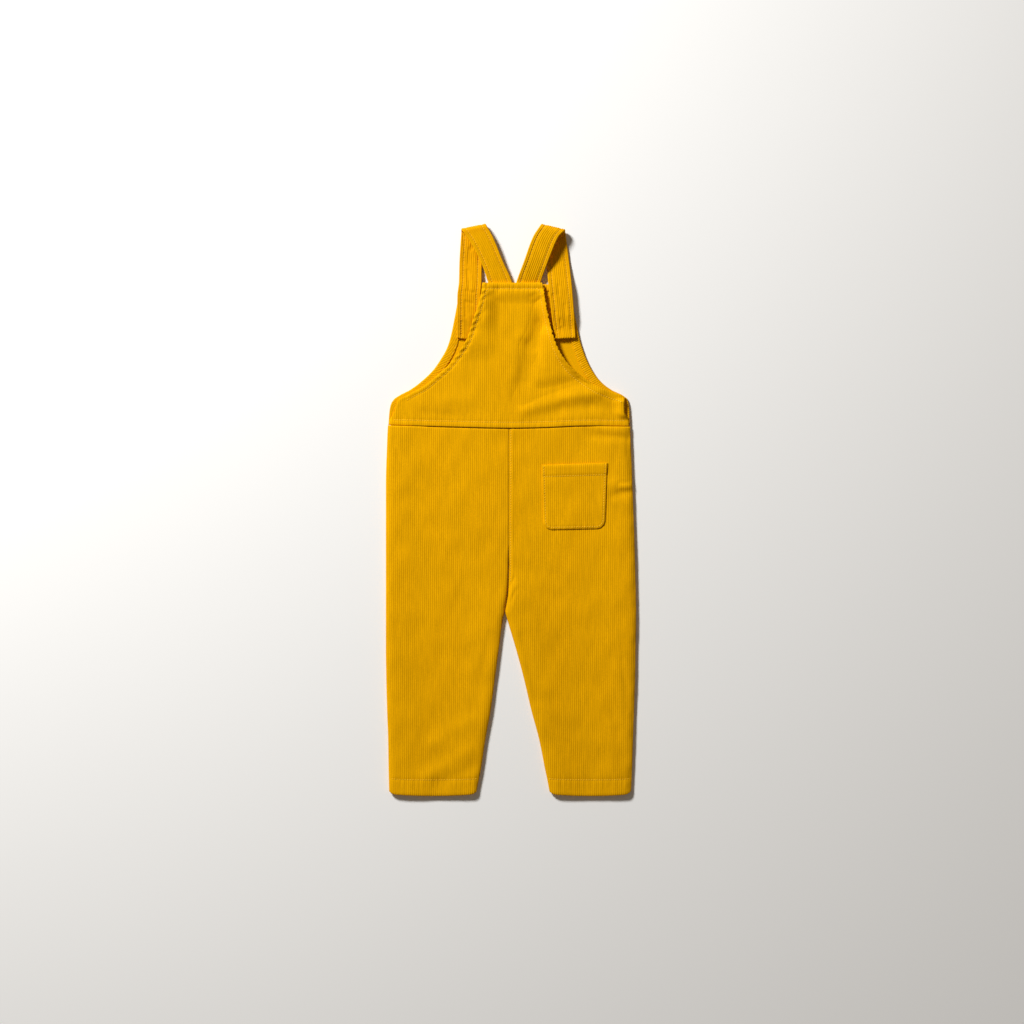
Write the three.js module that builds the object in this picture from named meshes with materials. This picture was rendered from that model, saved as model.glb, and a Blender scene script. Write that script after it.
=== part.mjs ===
// Kids dungarees in corduroy, laid flat with the back up. Millimetres.
// X runs across the garment, Y up it from hem to straps, Z up from the surface it lies on.
// Heights in the tables are measured from the hem; the model is centred on half its length.
import * as THREE from 'three';

// Overall sizes
const LENGTH = 628.5;
const SEAM_GAP = 0.3;
const LAYER_GAP = 0.3;
const WALL = 1.5;
const HEM_WALL = 2.2;

// Trousers
const HEM_DEPTH = 18;
const CROTCH_HEIGHT = 203;
const CROTCH_ROLL_TOP = 258;
const SIDE_SEAM_Z = 3.3;
const SIDE_FOLD_WIDTH = 8;
const SIDE_FOLD_TOP = 6.3;
const SIDE_PUFF_REACH = 26;
const LEG_FLAT_Z = 4;
const LEG_HEM_SWELL = 0.9;
const LEG_HEM_SWELL_REACH = 22;
const LEG_WAIST_SWELL = 0.2;
const LEG_WAIST_SWELL_REACH = 24;
const HEM_CORNER_LIFT = 4;
const HEM_BOW = 2.2;
const HEM_CURVE_REACH = 36;
const HEM_RIM_ROUNDING = 0.5;
const HEM_STEP = 4;
const WAIST_CURVE_REACH = 40;

// Bibs
const WAIST_HEIGHT = 404;
const BIB_TOP = 563.8;
const BIB_HEM = 6.5;
const ARMHOLE_CORNER = 437;
const BIB_FOLD_WIDTH = 6;
const BIB_HEM_STEP = 2;
const BIB_RIM_ROUNDING = 0.4;
const BIB_WAIST_REACH = 30;
const BACK_BIB_FLAT_Z = 4.9;
const BACK_BIB_CHEST_SWELL = 0.7;
const BACK_BIB_ROLL_TOP = 424;

// Straps
const STRAP_HALF_THICKNESS = 1.35;
const STRAP_EDGE_HALF_THICKNESS = 0.9;
const STRAP_EDGE_BAND = 0.1;
const STRAP_REST_Z = HEM_WALL + LAYER_GAP + STRAP_HALF_THICKNESS;
const STRAP_FLOOR_Z = STRAP_HALF_THICKNESS;
const STRAP_LEAVES_BIB = 1.5;

// Buttons under the front bib
const BUTTON_RADIUS = 7.5;
const BUTTON_THICKNESS = 2.2;
const BUTTON_HEIGHT = 542;
const BUTTON_LEFT_X = -46;
const BUTTON_RIGHT_X = 56;
const BUTTON_RISE = BUTTON_THICKNESS + LAYER_GAP;
const BUTTON_FLAT_REACH = 12;
const BUTTON_RISE_REACH = 32;
const BUTTON_RIM = 1.6;
const BUTTON_RIM_TOP = 0.6;
const BUTTON_DISH = 0.5;

// Pocket
const POCKET_WALL = 1.5;
const POCKET_HEM_WALL = 2.1;
const POCKET_HEM = 13;
const POCKET_CORNER = 9;
const POCKET_RIM_ROUNDING = 0.5;
const POCKET_RIM_WIDTH = 1.2;
const POCKET_MARGIN = 4;

const MUSTARD = new THREE.Color().setRGB(0.86, 0.62, 0.02, THREE.SRGBColorSpace);
const MUSTARD_INSIDE = new THREE.Color().setRGB(0.8, 0.57, 0.02, THREE.SRGBColorSpace);
const BUTTON_BROWN = new THREE.Color().setRGB(0.36, 0.22, 0.08, THREE.SRGBColorSpace);

// Outer edge of each trouser leg, and its inseam edge up to the crotch
const LEG_LEFT = [
  { height: 0, outer: -134, inseam: -37.5 },
  { height: 28, outer: -134.5, inseam: -33 },
  { height: 62, outer: -135, inseam: -28 },
  { height: 95, outer: -136.2, inseam: -22 },
  { height: 128, outer: -137, inseam: -17.6 },
  { height: 161, outer: -137.5, inseam: -13.2 },
  { height: 194, outer: -137.5, inseam: -8.8 },
  { height: 203, outer: -137.5, inseam: -6.6 },
  { height: 342, outer: -137.5, inseam: -6.6 },
  { height: 390, outer: -136, inseam: -6.6 },
  { height: 412, outer: -134.8, inseam: -6.6 },
];
const LEG_RIGHT = [
  { height: 0, outer: 132, inseam: 42 },
  { height: 28, outer: 133, inseam: 37.4 },
  { height: 62, outer: 134.2, inseam: 30.8 },
  { height: 95, outer: 135.3, inseam: 22 },
  { height: 128, outer: 136.4, inseam: 14.3 },
  { height: 161, outer: 137, inseam: 5.5 },
  { height: 194, outer: 137.5, inseam: -4.2 },
  { height: 203, outer: 137.5, inseam: -6.6 },
  { height: 258, outer: 136.4, inseam: -6.6 },
  { height: 342, outer: 133.5, inseam: -6.6 },
  { height: 390, outer: 131.5, inseam: -6.6 },
  { height: 412, outer: 130.6, inseam: -6.6 },
];

// Centre seam between the legs, from the crotch to the waist
const CENTRE_SEAM = [
  { height: 203, across: -6.6 },
  { height: 225, across: -3.4 },
  { height: 258, across: -2.5 },
  { height: 342, across: -2.3 },
  { height: 412, across: -2.2 },
];

// Waist seam, as a rise over WAIST_HEIGHT across the garment
const WAIST = [
  { across: -140, rise: 3.6 },
  { across: -60, rise: 1.3 },
  { across: -2, rise: 0 },
  { across: 32, rise: 0.6 },
  { across: 86, rise: 2.6 },
  { across: 135, rise: 2 },
];

const BACK_BIB = [
  { height: 402, left: -134.8, right: 130.6 },
  { height: 408, left: -134, right: 129.6 },
  { height: 414, left: -131.5, right: 128.4 },
  { height: 422, left: -127.6, right: 124.8 },
  { height: 430, left: -126.2, right: 124.8 },
  { height: 437, left: -123, right: 125.2 },
  { height: 440, left: -115.5, right: 123.6 },
  { height: 444, left: -108, right: 111.5 },
  { height: 450.5, left: -96, right: 95 },
  { height: 461.5, left: -82.5, right: 78.5 },
  { height: 474, left: -68.5, right: 64 },
  { height: 489, left: -57, right: 53.7 },
  { height: 503, left: -48.5, right: 47.8 },
  { height: 520, left: -43, right: 43.2 },
  { height: 542, left: -35.5, right: 38.6 },
  { height: 555, left: -32.6, right: 37 },
  { height: 563.8, left: -31.4, right: 34.8 },
];
const FRONT_BIB = [
  { height: 402, left: -134.8, right: 130.6 },
  { height: 420, left: -133.8, right: 130.4 },
  { height: 430, left: -132.4, right: 129.8 },
  { height: 436, left: -129, right: 128.2 },
  { height: 441, left: -121.6, right: 122 },
  { height: 446.6, left: -110.6, right: 110 },
  { height: 457.6, left: -96.3, right: 96.8 },
  { height: 468.6, left: -85.2, right: 89 },
  { height: 479.6, left: -77.6, right: 83.4 },
  { height: 490.6, left: -71.2, right: 79.2 },
  { height: 501.6, left: -67.2, right: 75.8 },
  { height: 523.6, left: -62.4, right: 71.2 },
  { height: 545.6, left: -58.4, right: 66.5 },
  { height: 562.6, left: -56.2, right: 63.5 },
];

// Where the back bib slopes up: over the chest, to the strap ends in its top hem, and to the left
// strap, across the bib and up it
const BACK_BIB_SLOPES = {
  chest: { from: 410, to: 470 },
  topEnds: { from: 540, to: 554 },
  leftAcross: { from: -30, to: -12 },
  leftUp: { from: 476, to: 500 },
};

// Largest folds of the back panels: a soft ridge or trough from one place to another
const BIB_FOLDS = [
  { x1: 34, y1: 545, x2: 20, y2: 492, rise: -2, width: 11 },
  { x1: 20, y1: 492, x2: 13, y2: 440, rise: -1.5, width: 12 },
  { x1: 96, y1: 462, x2: 12, y2: 436, rise: -1.3, width: 9 },
  { x1: 100, y1: 446, x2: 14, y2: 424, rise: 1.1, width: 8 },
  { x1: -108, y1: 433, x2: -52, y2: 434, rise: 0.6, width: 9 },
  { x1: 46, y1: 505, x2: 48, y2: 470, rise: 0.9, width: 10 },
];
const LEG_FOLDS = [
  { x1: 132, y1: 334, x2: 112, y2: 330, rise: -1.2, width: 5 },
  { x1: 132, y1: 341, x2: 108, y2: 343, rise: 0.8, width: 6 },
  { x1: 130, y1: 392, x2: 84, y2: 396, rise: -0.6, width: 7 },
  { x1: -92, y1: 22, x2: -46, y2: 50, rise: 0.9, width: 8 },
  { x1: -78, y1: 14, x2: -42, y2: 32, rise: -0.8, width: 7 },
  { x1: -84, y1: 58, x2: -46, y2: 84, rise: 0.6, width: 9 },
  { x1: 14, y1: 176, x2: 28, y2: 106, rise: -0.7, width: 6 },
  { x1: 118, y1: 70, x2: 124, y2: 20, rise: -0.8, width: 8 },
];

// Both edges of each strap, from its end under the back bib up to the fold, and from the fold
// down to its free end
const STRAP_LEFT = {
  foldRadius: 3.2,
  endSlope: -3,
  upperLeft: [
    { height: 558.5, x: -23 },
    { height: 565, x: -25.5 },
    { height: 581, x: -30.8 },
    { height: 608, x: -44.2 },
    { height: 622.2, x: -54.5 },
  ],
  upperRight: [
    { height: 558.5, x: 2.6 },
    { height: 565, x: 1.1 },
    { height: 587.4, x: -8.8 },
    { height: 613.8, x: -19.8 },
    { height: 627.6, x: -27.5 },
  ],
  lowerLeft: [
    { height: 504, x: -59.4 },
    { height: 549, x: -58.9 },
    { height: 565, x: -57.2 },
    { height: 587, x: -56.7 },
    { height: 622.2, x: -54.5 },
  ],
  lowerRight: [
    { height: 504, x: -34.1 },
    { height: 545.6, x: -33.6 },
    { height: 564, x: -32.2 },
    { height: 582, x: -31.9 },
    { height: 627.6, x: -27.5 },
  ],
};
const STRAP_RIGHT = {
  foldRadius: 5.5,
  endSlope: 1,
  upperLeft: [
    { height: 558.5, x: 4.2 },
    { height: 565, x: 6 },
    { height: 587.4, x: 14.3 },
    { height: 613.8, x: 24.2 },
    { height: 627.2, x: 33 },
  ],
  upperRight: [
    { height: 558.5, x: 30.4 },
    { height: 565, x: 32.8 },
    { height: 582, x: 39 },
    { height: 595, x: 44 },
    { height: 613.8, x: 52.3 },
    { height: 621, x: 59.4 },
  ],
  lowerLeft: [
    { height: 503, x: 48.4 },
    { height: 523.6, x: 45.1 },
    { height: 545.6, x: 42.9 },
    { height: 564.3, x: 40.7 },
    { height: 580.8, x: 39.6 },
    { height: 627.2, x: 33 },
  ],
  lowerRight: [
    { height: 503, x: 71 },
    { height: 523.6, x: 69.9 },
    { height: 545.6, x: 68.2 },
    { height: 570, x: 66 },
    { height: 605, x: 61.8 },
    { height: 621, x: 59.4 },
  ],
};

// Stretch over the bib's top along which a strap comes down to the surface
const STRAP_DROP = { from: 2, to: 28 };

// Pocket edges at its foot and at its top
const POCKET = {
  foot: { left: 36, right: 103, height: 292.6, slope: 1.4 },
  top: { left: 33.6, right: 105.8, height: 364, slope: 2.2 },
};

function smooth(from, to, value) {
  return THREE.MathUtils.smoothstep(value, from, to);
}

// Value of one column of a table at a place along it, on a curve that never overshoots its rows
function along(rows, key, column, place) {
  const last = rows.length - 1;
  if (place <= rows[0][key]) return rows[0][column];
  if (place >= rows[last][key]) return rows[last][column];
  let row = 0;
  while (rows[row + 1][key] < place) row += 1;
  const slopeBetween = (k) => {
    return (rows[k + 1][column] - rows[k][column]) / (rows[k + 1][key] - rows[k][key]);
  };
  const slopeAt = (k) => {
    if (k === 0) return slopeBetween(0);
    if (k === last) return slopeBetween(last - 1);
    const before = slopeBetween(k - 1);
    const after = slopeBetween(k);
    return before * after <= 0 ? 0 : (2 * before * after) / (before + after);
  };
  const step = rows[row + 1][key] - rows[row][key];
  const t = (place - rows[row][key]) / step;
  const start = rows[row][column];
  const end = rows[row + 1][column];
  return (
    start * (2 * t ** 3 - 3 * t ** 2 + 1) +
    step * slopeAt(row) * (t ** 3 - 2 * t ** 2 + t) +
    end * (3 * t ** 2 - 2 * t ** 3) +
    step * slopeAt(row + 1) * (t ** 3 - t ** 2)
  );
}

// Rise of a table of folds at one place
function foldRise(folds, x, height) {
  let rise = 0;
  for (const fold of folds) {
    const dx = fold.x2 - fold.x1;
    const dy = fold.y2 - fold.y1;
    const lengthSquared = dx * dx + dy * dy;
    const t = ((x - fold.x1) * dx + (height - fold.y1) * dy) / lengthSquared;
    const nearest = THREE.MathUtils.clamp(t, 0, 1);
    const distance = Math.hypot(x - fold.x1 - nearest * dx, height - fold.y1 - nearest * dy);
    rise += fold.rise * Math.exp(-((distance / fold.width) ** 2));
  }
  return rise;
}

// Heights spread evenly between the named ones, with about the given step
function spread(stops, step) {
  const values = [stops[0]];
  for (let k = 1; k < stops.length; k += 1) {
    const count = Math.max(1, Math.round((stops[k] - stops[k - 1]) / step));
    for (let n = 1; n <= count; n += 1) {
      values.push(stops[k - 1] + ((stops[k] - stops[k - 1]) * n) / count);
    }
  }
  return values;
}

// One closed wall between a grid that faces up and a grid that faces down.
// Rows run up the garment and columns run across it to the right.
function closedWall(top, bottom) {
  const rows = top.length;
  const columns = top[0].length;
  const positions = [];
  for (const grid of [top, bottom]) {
    for (const row of grid) {
      for (const point of row) positions.push(point.x, point.y, point.z);
    }
  }
  const up = (i, j) => i * columns + j;
  const down = (i, j) => rows * columns + i * columns + j;
  const index = [];
  const quad = (a, b, c, d) => index.push(a, b, c, a, c, d);
  for (let i = 0; i < rows - 1; i += 1) {
    for (let j = 0; j < columns - 1; j += 1) {
      quad(up(i, j), up(i, j + 1), up(i + 1, j + 1), up(i + 1, j));
      quad(down(i, j), down(i + 1, j), down(i + 1, j + 1), down(i, j + 1));
    }
    quad(up(i, 0), up(i + 1, 0), down(i + 1, 0), down(i, 0));
    quad(up(i + 1, columns - 1), up(i, columns - 1), down(i, columns - 1), down(i + 1, columns - 1));
  }
  for (let j = 0; j < columns - 1; j += 1) {
    quad(up(0, j + 1), up(0, j), down(0, j), down(0, j + 1));
    quad(up(rows - 1, j), up(rows - 1, j + 1), down(rows - 1, j + 1), down(rows - 1, j));
  }
  const geometry = new THREE.BufferGeometry();
  geometry.setAttribute('position', new THREE.Float32BufferAttribute(positions, 3));
  geometry.setIndex(index);
  geometry.computeVertexNormals();
  return geometry;
}

function point(x, height, z) {
  return new THREE.Vector3(x, height - LENGTH / 2, z);
}

function waistAt(x) {
  return WAIST_HEIGHT + along(WAIST, 'across', 'rise', x);
}

// Places across a panel from its left to its right edge. Each edge rolls over a quarter turn:
// angle is 0 at the edge itself and a right angle where the roll ends. inward points into the
// panel at either edge and is 0 between the rolls.
function acrossWithRolls(left, right, roll, steps, middle) {
  const places = [];
  for (let k = 0; k < steps; k += 1) {
    const angle = ((Math.PI / 2) * k) / steps;
    places.push({ x: left + roll * (1 - Math.cos(angle)), angle, edge: left, inward: 1 });
  }
  const from = left + roll;
  const to = right - roll;
  for (let k = 0; k <= middle; k += 1) {
    places.push({ x: from + ((to - from) * k) / middle, angle: Math.PI / 2, edge: 0, inward: 0 });
  }
  for (let k = steps - 1; k >= 0; k -= 1) {
    const angle = ((Math.PI / 2) * k) / steps;
    places.push({ x: right - roll * (1 - Math.cos(angle)), angle, edge: right, inward: -1 });
  }
  return places;
}

// Both faces of a wall at one place across it. turn is how far the edge has rolled towards the
// seam, from 0, lying flat, to 1, meeting the seam on edge. up is 1 for a back panel and -1 for
// a front one; face is the height of the flat outer face and seam that of the seam.
function rolledWall(place, height, face, seam, wall, roll, turn, up) {
  const short = 1 - Math.sin(place.angle);
  const depth = Math.abs(face - seam);
  const outer = point(place.x, height, face - up * turn * depth * short);
  const inset = turn * wall + (roll - turn * wall) * (1 - Math.cos(place.angle));
  const innerX = place.inward === 0 ? place.x : place.edge + place.inward * inset;
  const inner = point(innerX, height, face - up * (wall + turn * (depth - wall) * short));
  return { outer, inner };
}

function legEdges(rows, height) {
  const inner = height < CROTCH_HEIGHT
    ? along(rows, 'height', 'inseam', height)
    : along(CENTRE_SEAM, 'height', 'across', height);
  return { outer: along(rows, 'height', 'outer', height), inner };
}

function crotchTurn(height) {
  return 1 - smooth(CROTCH_HEIGHT, CROTCH_ROLL_TOP, height);
}

// Outer face of a back leg away from the rolls of its edges
function backLegZ(rows, x, height) {
  const edges = legEdges(rows, height);
  const hemSwell = LEG_HEM_SWELL * (1 - smooth(HEM_DEPTH, HEM_DEPTH + LEG_HEM_SWELL_REACH, height));
  const nearWaist = smooth(WAIST_HEIGHT - LEG_WAIST_SWELL_REACH, WAIST_HEIGHT, height);
  const flat = LEG_FLAT_Z + hemSwell + LEG_WAIST_SWELL * nearWaist;
  const puff = (distance, turn) => {
    const beyond = Math.max(0, Math.abs(distance) - SIDE_FOLD_WIDTH);
    return turn * Math.exp(-((beyond / SIDE_PUFF_REACH) ** 2));
  };
  const swell = Math.max(puff(x - edges.outer, 1), puff(x - edges.inner, crotchTurn(height)));
  return flat + (SIDE_FOLD_TOP - flat) * swell + foldRise(LEG_FOLDS, x, height);
}

// A leg panel from hem to waist. side is -1 for the left leg and 1 for the right.
function legPanel(rows, side, isBack, heights, middle, steps) {
  const up = isBack ? 1 : -1;
  const seam = SIDE_SEAM_Z + (up * SEAM_GAP) / 2;
  const outerGrid = [];
  const innerGrid = [];
  const hemEdges = legEdges(rows, 0);
  const hemMiddle = (hemEdges.outer + hemEdges.inner) / 2;
  const hemHalf = Math.abs(hemEdges.outer - hemEdges.inner) / 2;
  for (const height of heights) {
    const edges = legEdges(rows, height);
    const inner = edges.inner + (side * SEAM_GAP) / 2;
    const left = side < 0 ? edges.outer : inner;
    const right = side < 0 ? inner : edges.outer;
    const places = acrossWithRolls(left, right, SIDE_FOLD_WIDTH, steps, middle);
    const nearHem = 1 - smooth(0, HEM_CURVE_REACH, height);
    const nearWaist = smooth(WAIST_HEIGHT - WAIST_CURVE_REACH, WAIST_HEIGHT, height);
    const rounding = height === 0 ? HEM_RIM_ROUNDING : 0;
    const hemShare = 1 - smooth(HEM_DEPTH, HEM_DEPTH + HEM_STEP, height);
    const wall = WALL + (HEM_WALL - WALL) * hemShare - 2 * rounding;
    const outerRow = [];
    const innerRow = [];
    for (const place of places) {
      const atOuterEdge = place.inward === -side;
      const turn = atOuterEdge || place.inward === 0 ? 1 : crotchTurn(height);
      const bow = HEM_BOW * ((place.x - hemMiddle) / hemHalf) ** 2;
      const corner = HEM_CORNER_LIFT * (1 - Math.sin(place.angle));
      const waistRise = waistAt(place.x) - WAIST_HEIGHT;
      const y = height + nearHem * (corner + bow) + nearWaist * waistRise;
      const face = isBack ? backLegZ(rows, place.x, height) - rounding : rounding;
      const points = rolledWall(place, y, face, seam, wall, SIDE_FOLD_WIDTH, turn, up);
      outerRow.push(points.outer);
      innerRow.push(points.inner);
    }
    outerGrid.push(outerRow);
    innerGrid.push(innerRow);
  }
  return isBack ? closedWall(outerGrid, innerGrid) : closedWall(innerGrid, outerGrid);
}

// Rise of the front bib over the two buttons, at a distance from a button's middle
function buttonRise(distance) {
  return BUTTON_RISE * (1 - smooth(BUTTON_FLAT_REACH, BUTTON_RISE_REACH, distance));
}

// Rise of the underside of the front bib
function frontBibRise(x, height) {
  const left = Math.hypot(x - BUTTON_LEFT_X, height - BUTTON_HEIGHT);
  const right = Math.hypot(x - BUTTON_RIGHT_X, height - BUTTON_HEIGHT);
  return Math.max(buttonRise(left), buttonRise(right));
}

// Outer face of the back bib: it lies lowest in its middle and is lifted where it crosses
// the straps, along its top hem and at its left edge
function backBibZ(x, height, inHem) {
  const { chest, topEnds, leftAcross, leftUp } = BACK_BIB_SLOPES;
  const flat = BACK_BIB_FLAT_Z + BACK_BIB_CHEST_SWELL * smooth(chest.from, chest.to, height);
  const overStrapEnds = smooth(topEnds.from, topEnds.to, height);
  const onLeft = 1 - smooth(leftAcross.from, leftAcross.to, x);
  const overStrapLeft = onLeft * smooth(leftUp.from, leftUp.to, height);
  const lift = HEM_WALL + LAYER_GAP + 2 * STRAP_HALF_THICKNESS + LAYER_GAP + HEM_WALL - flat;
  const button = buttonRise(Math.abs(height - BUTTON_HEIGHT)) * overStrapLeft;
  const folds = foldRise(BIB_FOLDS, x, height) * (1 - Math.max(overStrapEnds, overStrapLeft));
  const layers = inHem ? 2 * HEM_WALL : WALL + HEM_WALL;
  const lowest = layers + 2 * LAYER_GAP + frontBibRise(x, height);
  return Math.max(lowest, flat + lift * Math.max(overStrapEnds, overStrapLeft) + button + folds);
}

// A bib from the waist seam to its top hem
function bibPanel(rows, isBack, heights, middle, steps) {
  const up = isBack ? 1 : -1;
  const seam = SIDE_SEAM_Z + (up * SEAM_GAP) / 2;
  const top = rows[rows.length - 1].height;
  const outerGrid = [];
  const innerGrid = [];
  for (const height of heights) {
    const left = along(rows, 'height', 'left', height);
    const right = along(rows, 'height', 'right', height);
    const places = acrossWithRolls(left, right, BIB_FOLD_WIDTH, steps, middle);
    const turn = 1 - smooth(WAIST_HEIGHT + BIB_HEM_STEP, isBack ? BACK_BIB_ROLL_TOP : ARMHOLE_CORNER, height);
    const nearWaist = 1 - smooth(WAIST_HEIGHT, WAIST_HEIGHT + BIB_WAIST_REACH, height);
    const inTopHem = 1 - smooth(BIB_HEM, BIB_HEM + BIB_HEM_STEP, top - height);
    const outerRow = [];
    const innerRow = [];
    for (const place of places) {
      const y = height + nearWaist * (waistAt(place.x) - WAIST_HEIGHT);
      const inHem = place.inward === 0 ? inTopHem : 1;
      const isRim = height === top || (place.angle === 0 && turn < 0.5);
      const rounding = isRim ? BIB_RIM_ROUNDING : 0;
      const wall = WALL + (HEM_WALL - WALL) * inHem * (1 - nearWaist) - 2 * rounding;
      const face = isBack
        ? backBibZ(place.x, height, inHem > 0) - rounding
        : frontBibRise(place.x, height) + rounding;
      const points = rolledWall(place, y, face, seam, wall, BIB_FOLD_WIDTH, turn, up);
      outerRow.push(points.outer);
      innerRow.push(points.inner);
    }
    outerGrid.push(outerRow);
    innerGrid.push(innerRow);
  }
  return isBack ? closedWall(outerGrid, innerGrid) : closedWall(innerGrid, outerGrid);
}

// Height of the middle of a strap's cloth on its lower run, which lies over the front bib and
// comes down to the surface beyond its top
function lowerRunZ(height) {
  const onBib = 1 - smooth(BIB_TOP + STRAP_DROP.from, BIB_TOP + STRAP_DROP.to, height);
  const rest = STRAP_FLOOR_Z + (STRAP_REST_Z - STRAP_FLOOR_Z) * onBib;
  return rest + buttonRise(Math.abs(height - BUTTON_HEIGHT));
}

// Height of the middle of a strap's cloth on its upper run, which climbs from the bib to the fold
function upperRunZ(height, foldTop, foldZ) {
  const start = BIB_TOP + STRAP_LEAVES_BIB;
  const share = THREE.MathUtils.clamp((height - start) / (foldTop - start), 0, 1);
  return STRAP_REST_Z + (foldZ - STRAP_REST_Z) * (1 - (1 - share) ** 2);
}

// Rows of a strap from its end under the back bib, round the fold and down to its free end.
// Each row is the strap's left and right edge at the middle of the cloth.
function strapRows(strap, runSteps, foldSteps, freeSteps) {
  const { upperLeft, upperRight, lowerLeft, lowerRight, foldRadius } = strap;
  const creaseLeft = upperLeft[upperLeft.length - 1].height;
  const creaseRight = upperRight[upperRight.length - 1].height;
  const start = upperLeft[0].height;
  const end = lowerLeft[0].height;
  const centreZ = STRAP_FLOOR_Z + foldRadius;
  const rows = [];
  const addRow = (leftTable, rightTable, leftHeight, rightHeight, leftZ, rightZ) => {
    const left = point(along(leftTable, 'height', 'x', leftHeight), leftHeight, leftZ);
    const right = point(along(rightTable, 'height', 'x', rightHeight), rightHeight, rightZ);
    rows.push({ left, right });
  };
  for (let k = 0; k < runSteps; k += 1) {
    const share = k / runSteps;
    const leftHeight = THREE.MathUtils.lerp(start, creaseLeft - foldRadius, share);
    const rightHeight = THREE.MathUtils.lerp(start, creaseRight - foldRadius, share);
    const leftZ = upperRunZ(leftHeight, creaseLeft - foldRadius, centreZ + foldRadius);
    const rightZ = upperRunZ(rightHeight, creaseRight - foldRadius, centreZ + foldRadius);
    addRow(upperLeft, upperRight, leftHeight, rightHeight, leftZ, rightZ);
  }
  for (let k = 0; k <= foldSteps; k += 1) {
    const angle = Math.PI * (0.5 - k / foldSteps);
    const back = foldRadius * (1 - Math.cos(angle));
    const z = centreZ + foldRadius * Math.sin(angle);
    const isUpper = angle > 0;
    const leftTable = isUpper ? upperLeft : lowerLeft;
    const rightTable = isUpper ? upperRight : lowerRight;
    addRow(leftTable, rightTable, creaseLeft - back, creaseRight - back, z, z);
  }
  for (let k = 1; k <= freeSteps; k += 1) {
    const share = k / freeSteps;
    const leftHeight = THREE.MathUtils.lerp(creaseLeft - foldRadius, end, share);
    const rightHeight = THREE.MathUtils.lerp(creaseRight - foldRadius, end + strap.endSlope, share);
    const height = (leftHeight + rightHeight) / 2;
    addRow(lowerLeft, lowerRight, leftHeight, rightHeight, lowerRunZ(height), lowerRunZ(height));
  }
  return rows;
}

function strapGeometry(strap, runSteps, foldSteps, freeSteps) {
  const rows = strapRows(strap, runSteps, foldSteps, freeSteps);
  const top = [];
  const bottom = [];
  const shares = [0, STRAP_EDGE_BAND, 0.5, 1 - STRAP_EDGE_BAND, 1];
  rows.forEach((row, i) => {
    const before = rows[Math.max(0, i - 1)];
    const after = rows[Math.min(rows.length - 1, i + 1)];
    const across = row.right.clone().sub(row.left);
    const forward = after.left.clone().sub(before.left).add(after.right).sub(before.right);
    const normal = across.cross(forward).normalize();
    const topRow = [];
    const bottomRow = [];
    for (const share of shares) {
      const isEdge = share === 0 || share === 1;
      const half = isEdge ? STRAP_EDGE_HALF_THICKNESS : STRAP_HALF_THICKNESS;
      const middle = row.left.clone().lerp(row.right, share);
      topRow.push(middle.clone().addScaledVector(normal, half));
      bottomRow.push(middle.clone().addScaledVector(normal, -half));
    }
    top.push(topRow);
    bottom.push(bottomRow);
  });
  return closedWall(top, bottom);
}

// The pocket lies on the right back leg, with rounded lower corners and a thicker top hem
function pocketGeometry() {
  const { foot, top } = POCKET;
  const tall = top.height - foot.height;
  const corner = POCKET_CORNER;
  const cornerLevels = [0, 30, 60].map((degrees) => corner * (1 - Math.cos(THREE.MathUtils.degToRad(degrees))));
  const hemLevel = tall - POCKET_HEM;
  const levels = [...cornerLevels, ...spread([corner, hemLevel - 1, hemLevel + 1, tall - 1, tall], 8)];
  const upper = [];
  const lower = [];
  for (const level of levels) {
    const t = level / tall;
    const inset = level < corner ? corner - Math.sqrt(corner ** 2 - (corner - level) ** 2) : 0;
    const left = THREE.MathUtils.lerp(foot.left, top.left, t) + inset;
    const right = THREE.MathUtils.lerp(foot.right, top.right, t) - inset;
    const width = right - left;
    const slope = THREE.MathUtils.lerp(foot.slope, top.slope, t);
    const wall = level > hemLevel ? POCKET_HEM_WALL : POCKET_WALL;
    const middle = [0, 1, 2, 3, 4, 5, 6, 7].map((k) => POCKET_MARGIN + ((width - 2 * POCKET_MARGIN) * k) / 7);
    const offsets = [0, POCKET_RIM_WIDTH, ...middle, width - POCKET_RIM_WIDTH, width];
    const upperRow = [];
    const lowerRow = [];
    for (const offset of offsets) {
      const x = left + offset;
      const height = foot.height + level + slope * (offset / width);
      const floor = backLegZ(LEG_RIGHT, x, height) + LAYER_GAP;
      const isRim = offset === 0 || offset === width || level === 0 || level === tall;
      upperRow.push(point(x, height, floor + wall - (isRim ? POCKET_RIM_ROUNDING : 0)));
      lowerRow.push(point(x, height, floor));
    }
    upper.push(upperRow);
    lower.push(lowerRow);
  }
  return closedWall(upper, lower);
}

// A flat round button with a raised rim and a dished middle
function buttonGeometry() {
  const rim = BUTTON_RADIUS;
  const profile = [
    new THREE.Vector2(0, BUTTON_DISH),
    new THREE.Vector2(rim - BUTTON_RIM - BUTTON_DISH, BUTTON_DISH),
    new THREE.Vector2(rim - BUTTON_RIM, 0),
    new THREE.Vector2(rim - BUTTON_RIM_TOP, 0),
    new THREE.Vector2(rim, BUTTON_RIM_TOP),
    new THREE.Vector2(rim, BUTTON_THICKNESS - BUTTON_RIM_TOP),
    new THREE.Vector2(rim - BUTTON_RIM_TOP, BUTTON_THICKNESS),
    new THREE.Vector2(0, BUTTON_THICKNESS),
  ];
  const geometry = new THREE.LatheGeometry(profile, 24);
  geometry.rotateX(Math.PI / 2);
  return geometry;
}

function clothMaterial(color) {
  return new THREE.MeshStandardMaterial({ color, roughness: 0.95, metalness: 0 });
}

const garment = new THREE.Group();

function add(name, geometry, material) {
  const mesh = new THREE.Mesh(geometry, material);
  mesh.name = name;
  garment.add(mesh);
  return mesh;
}

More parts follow.
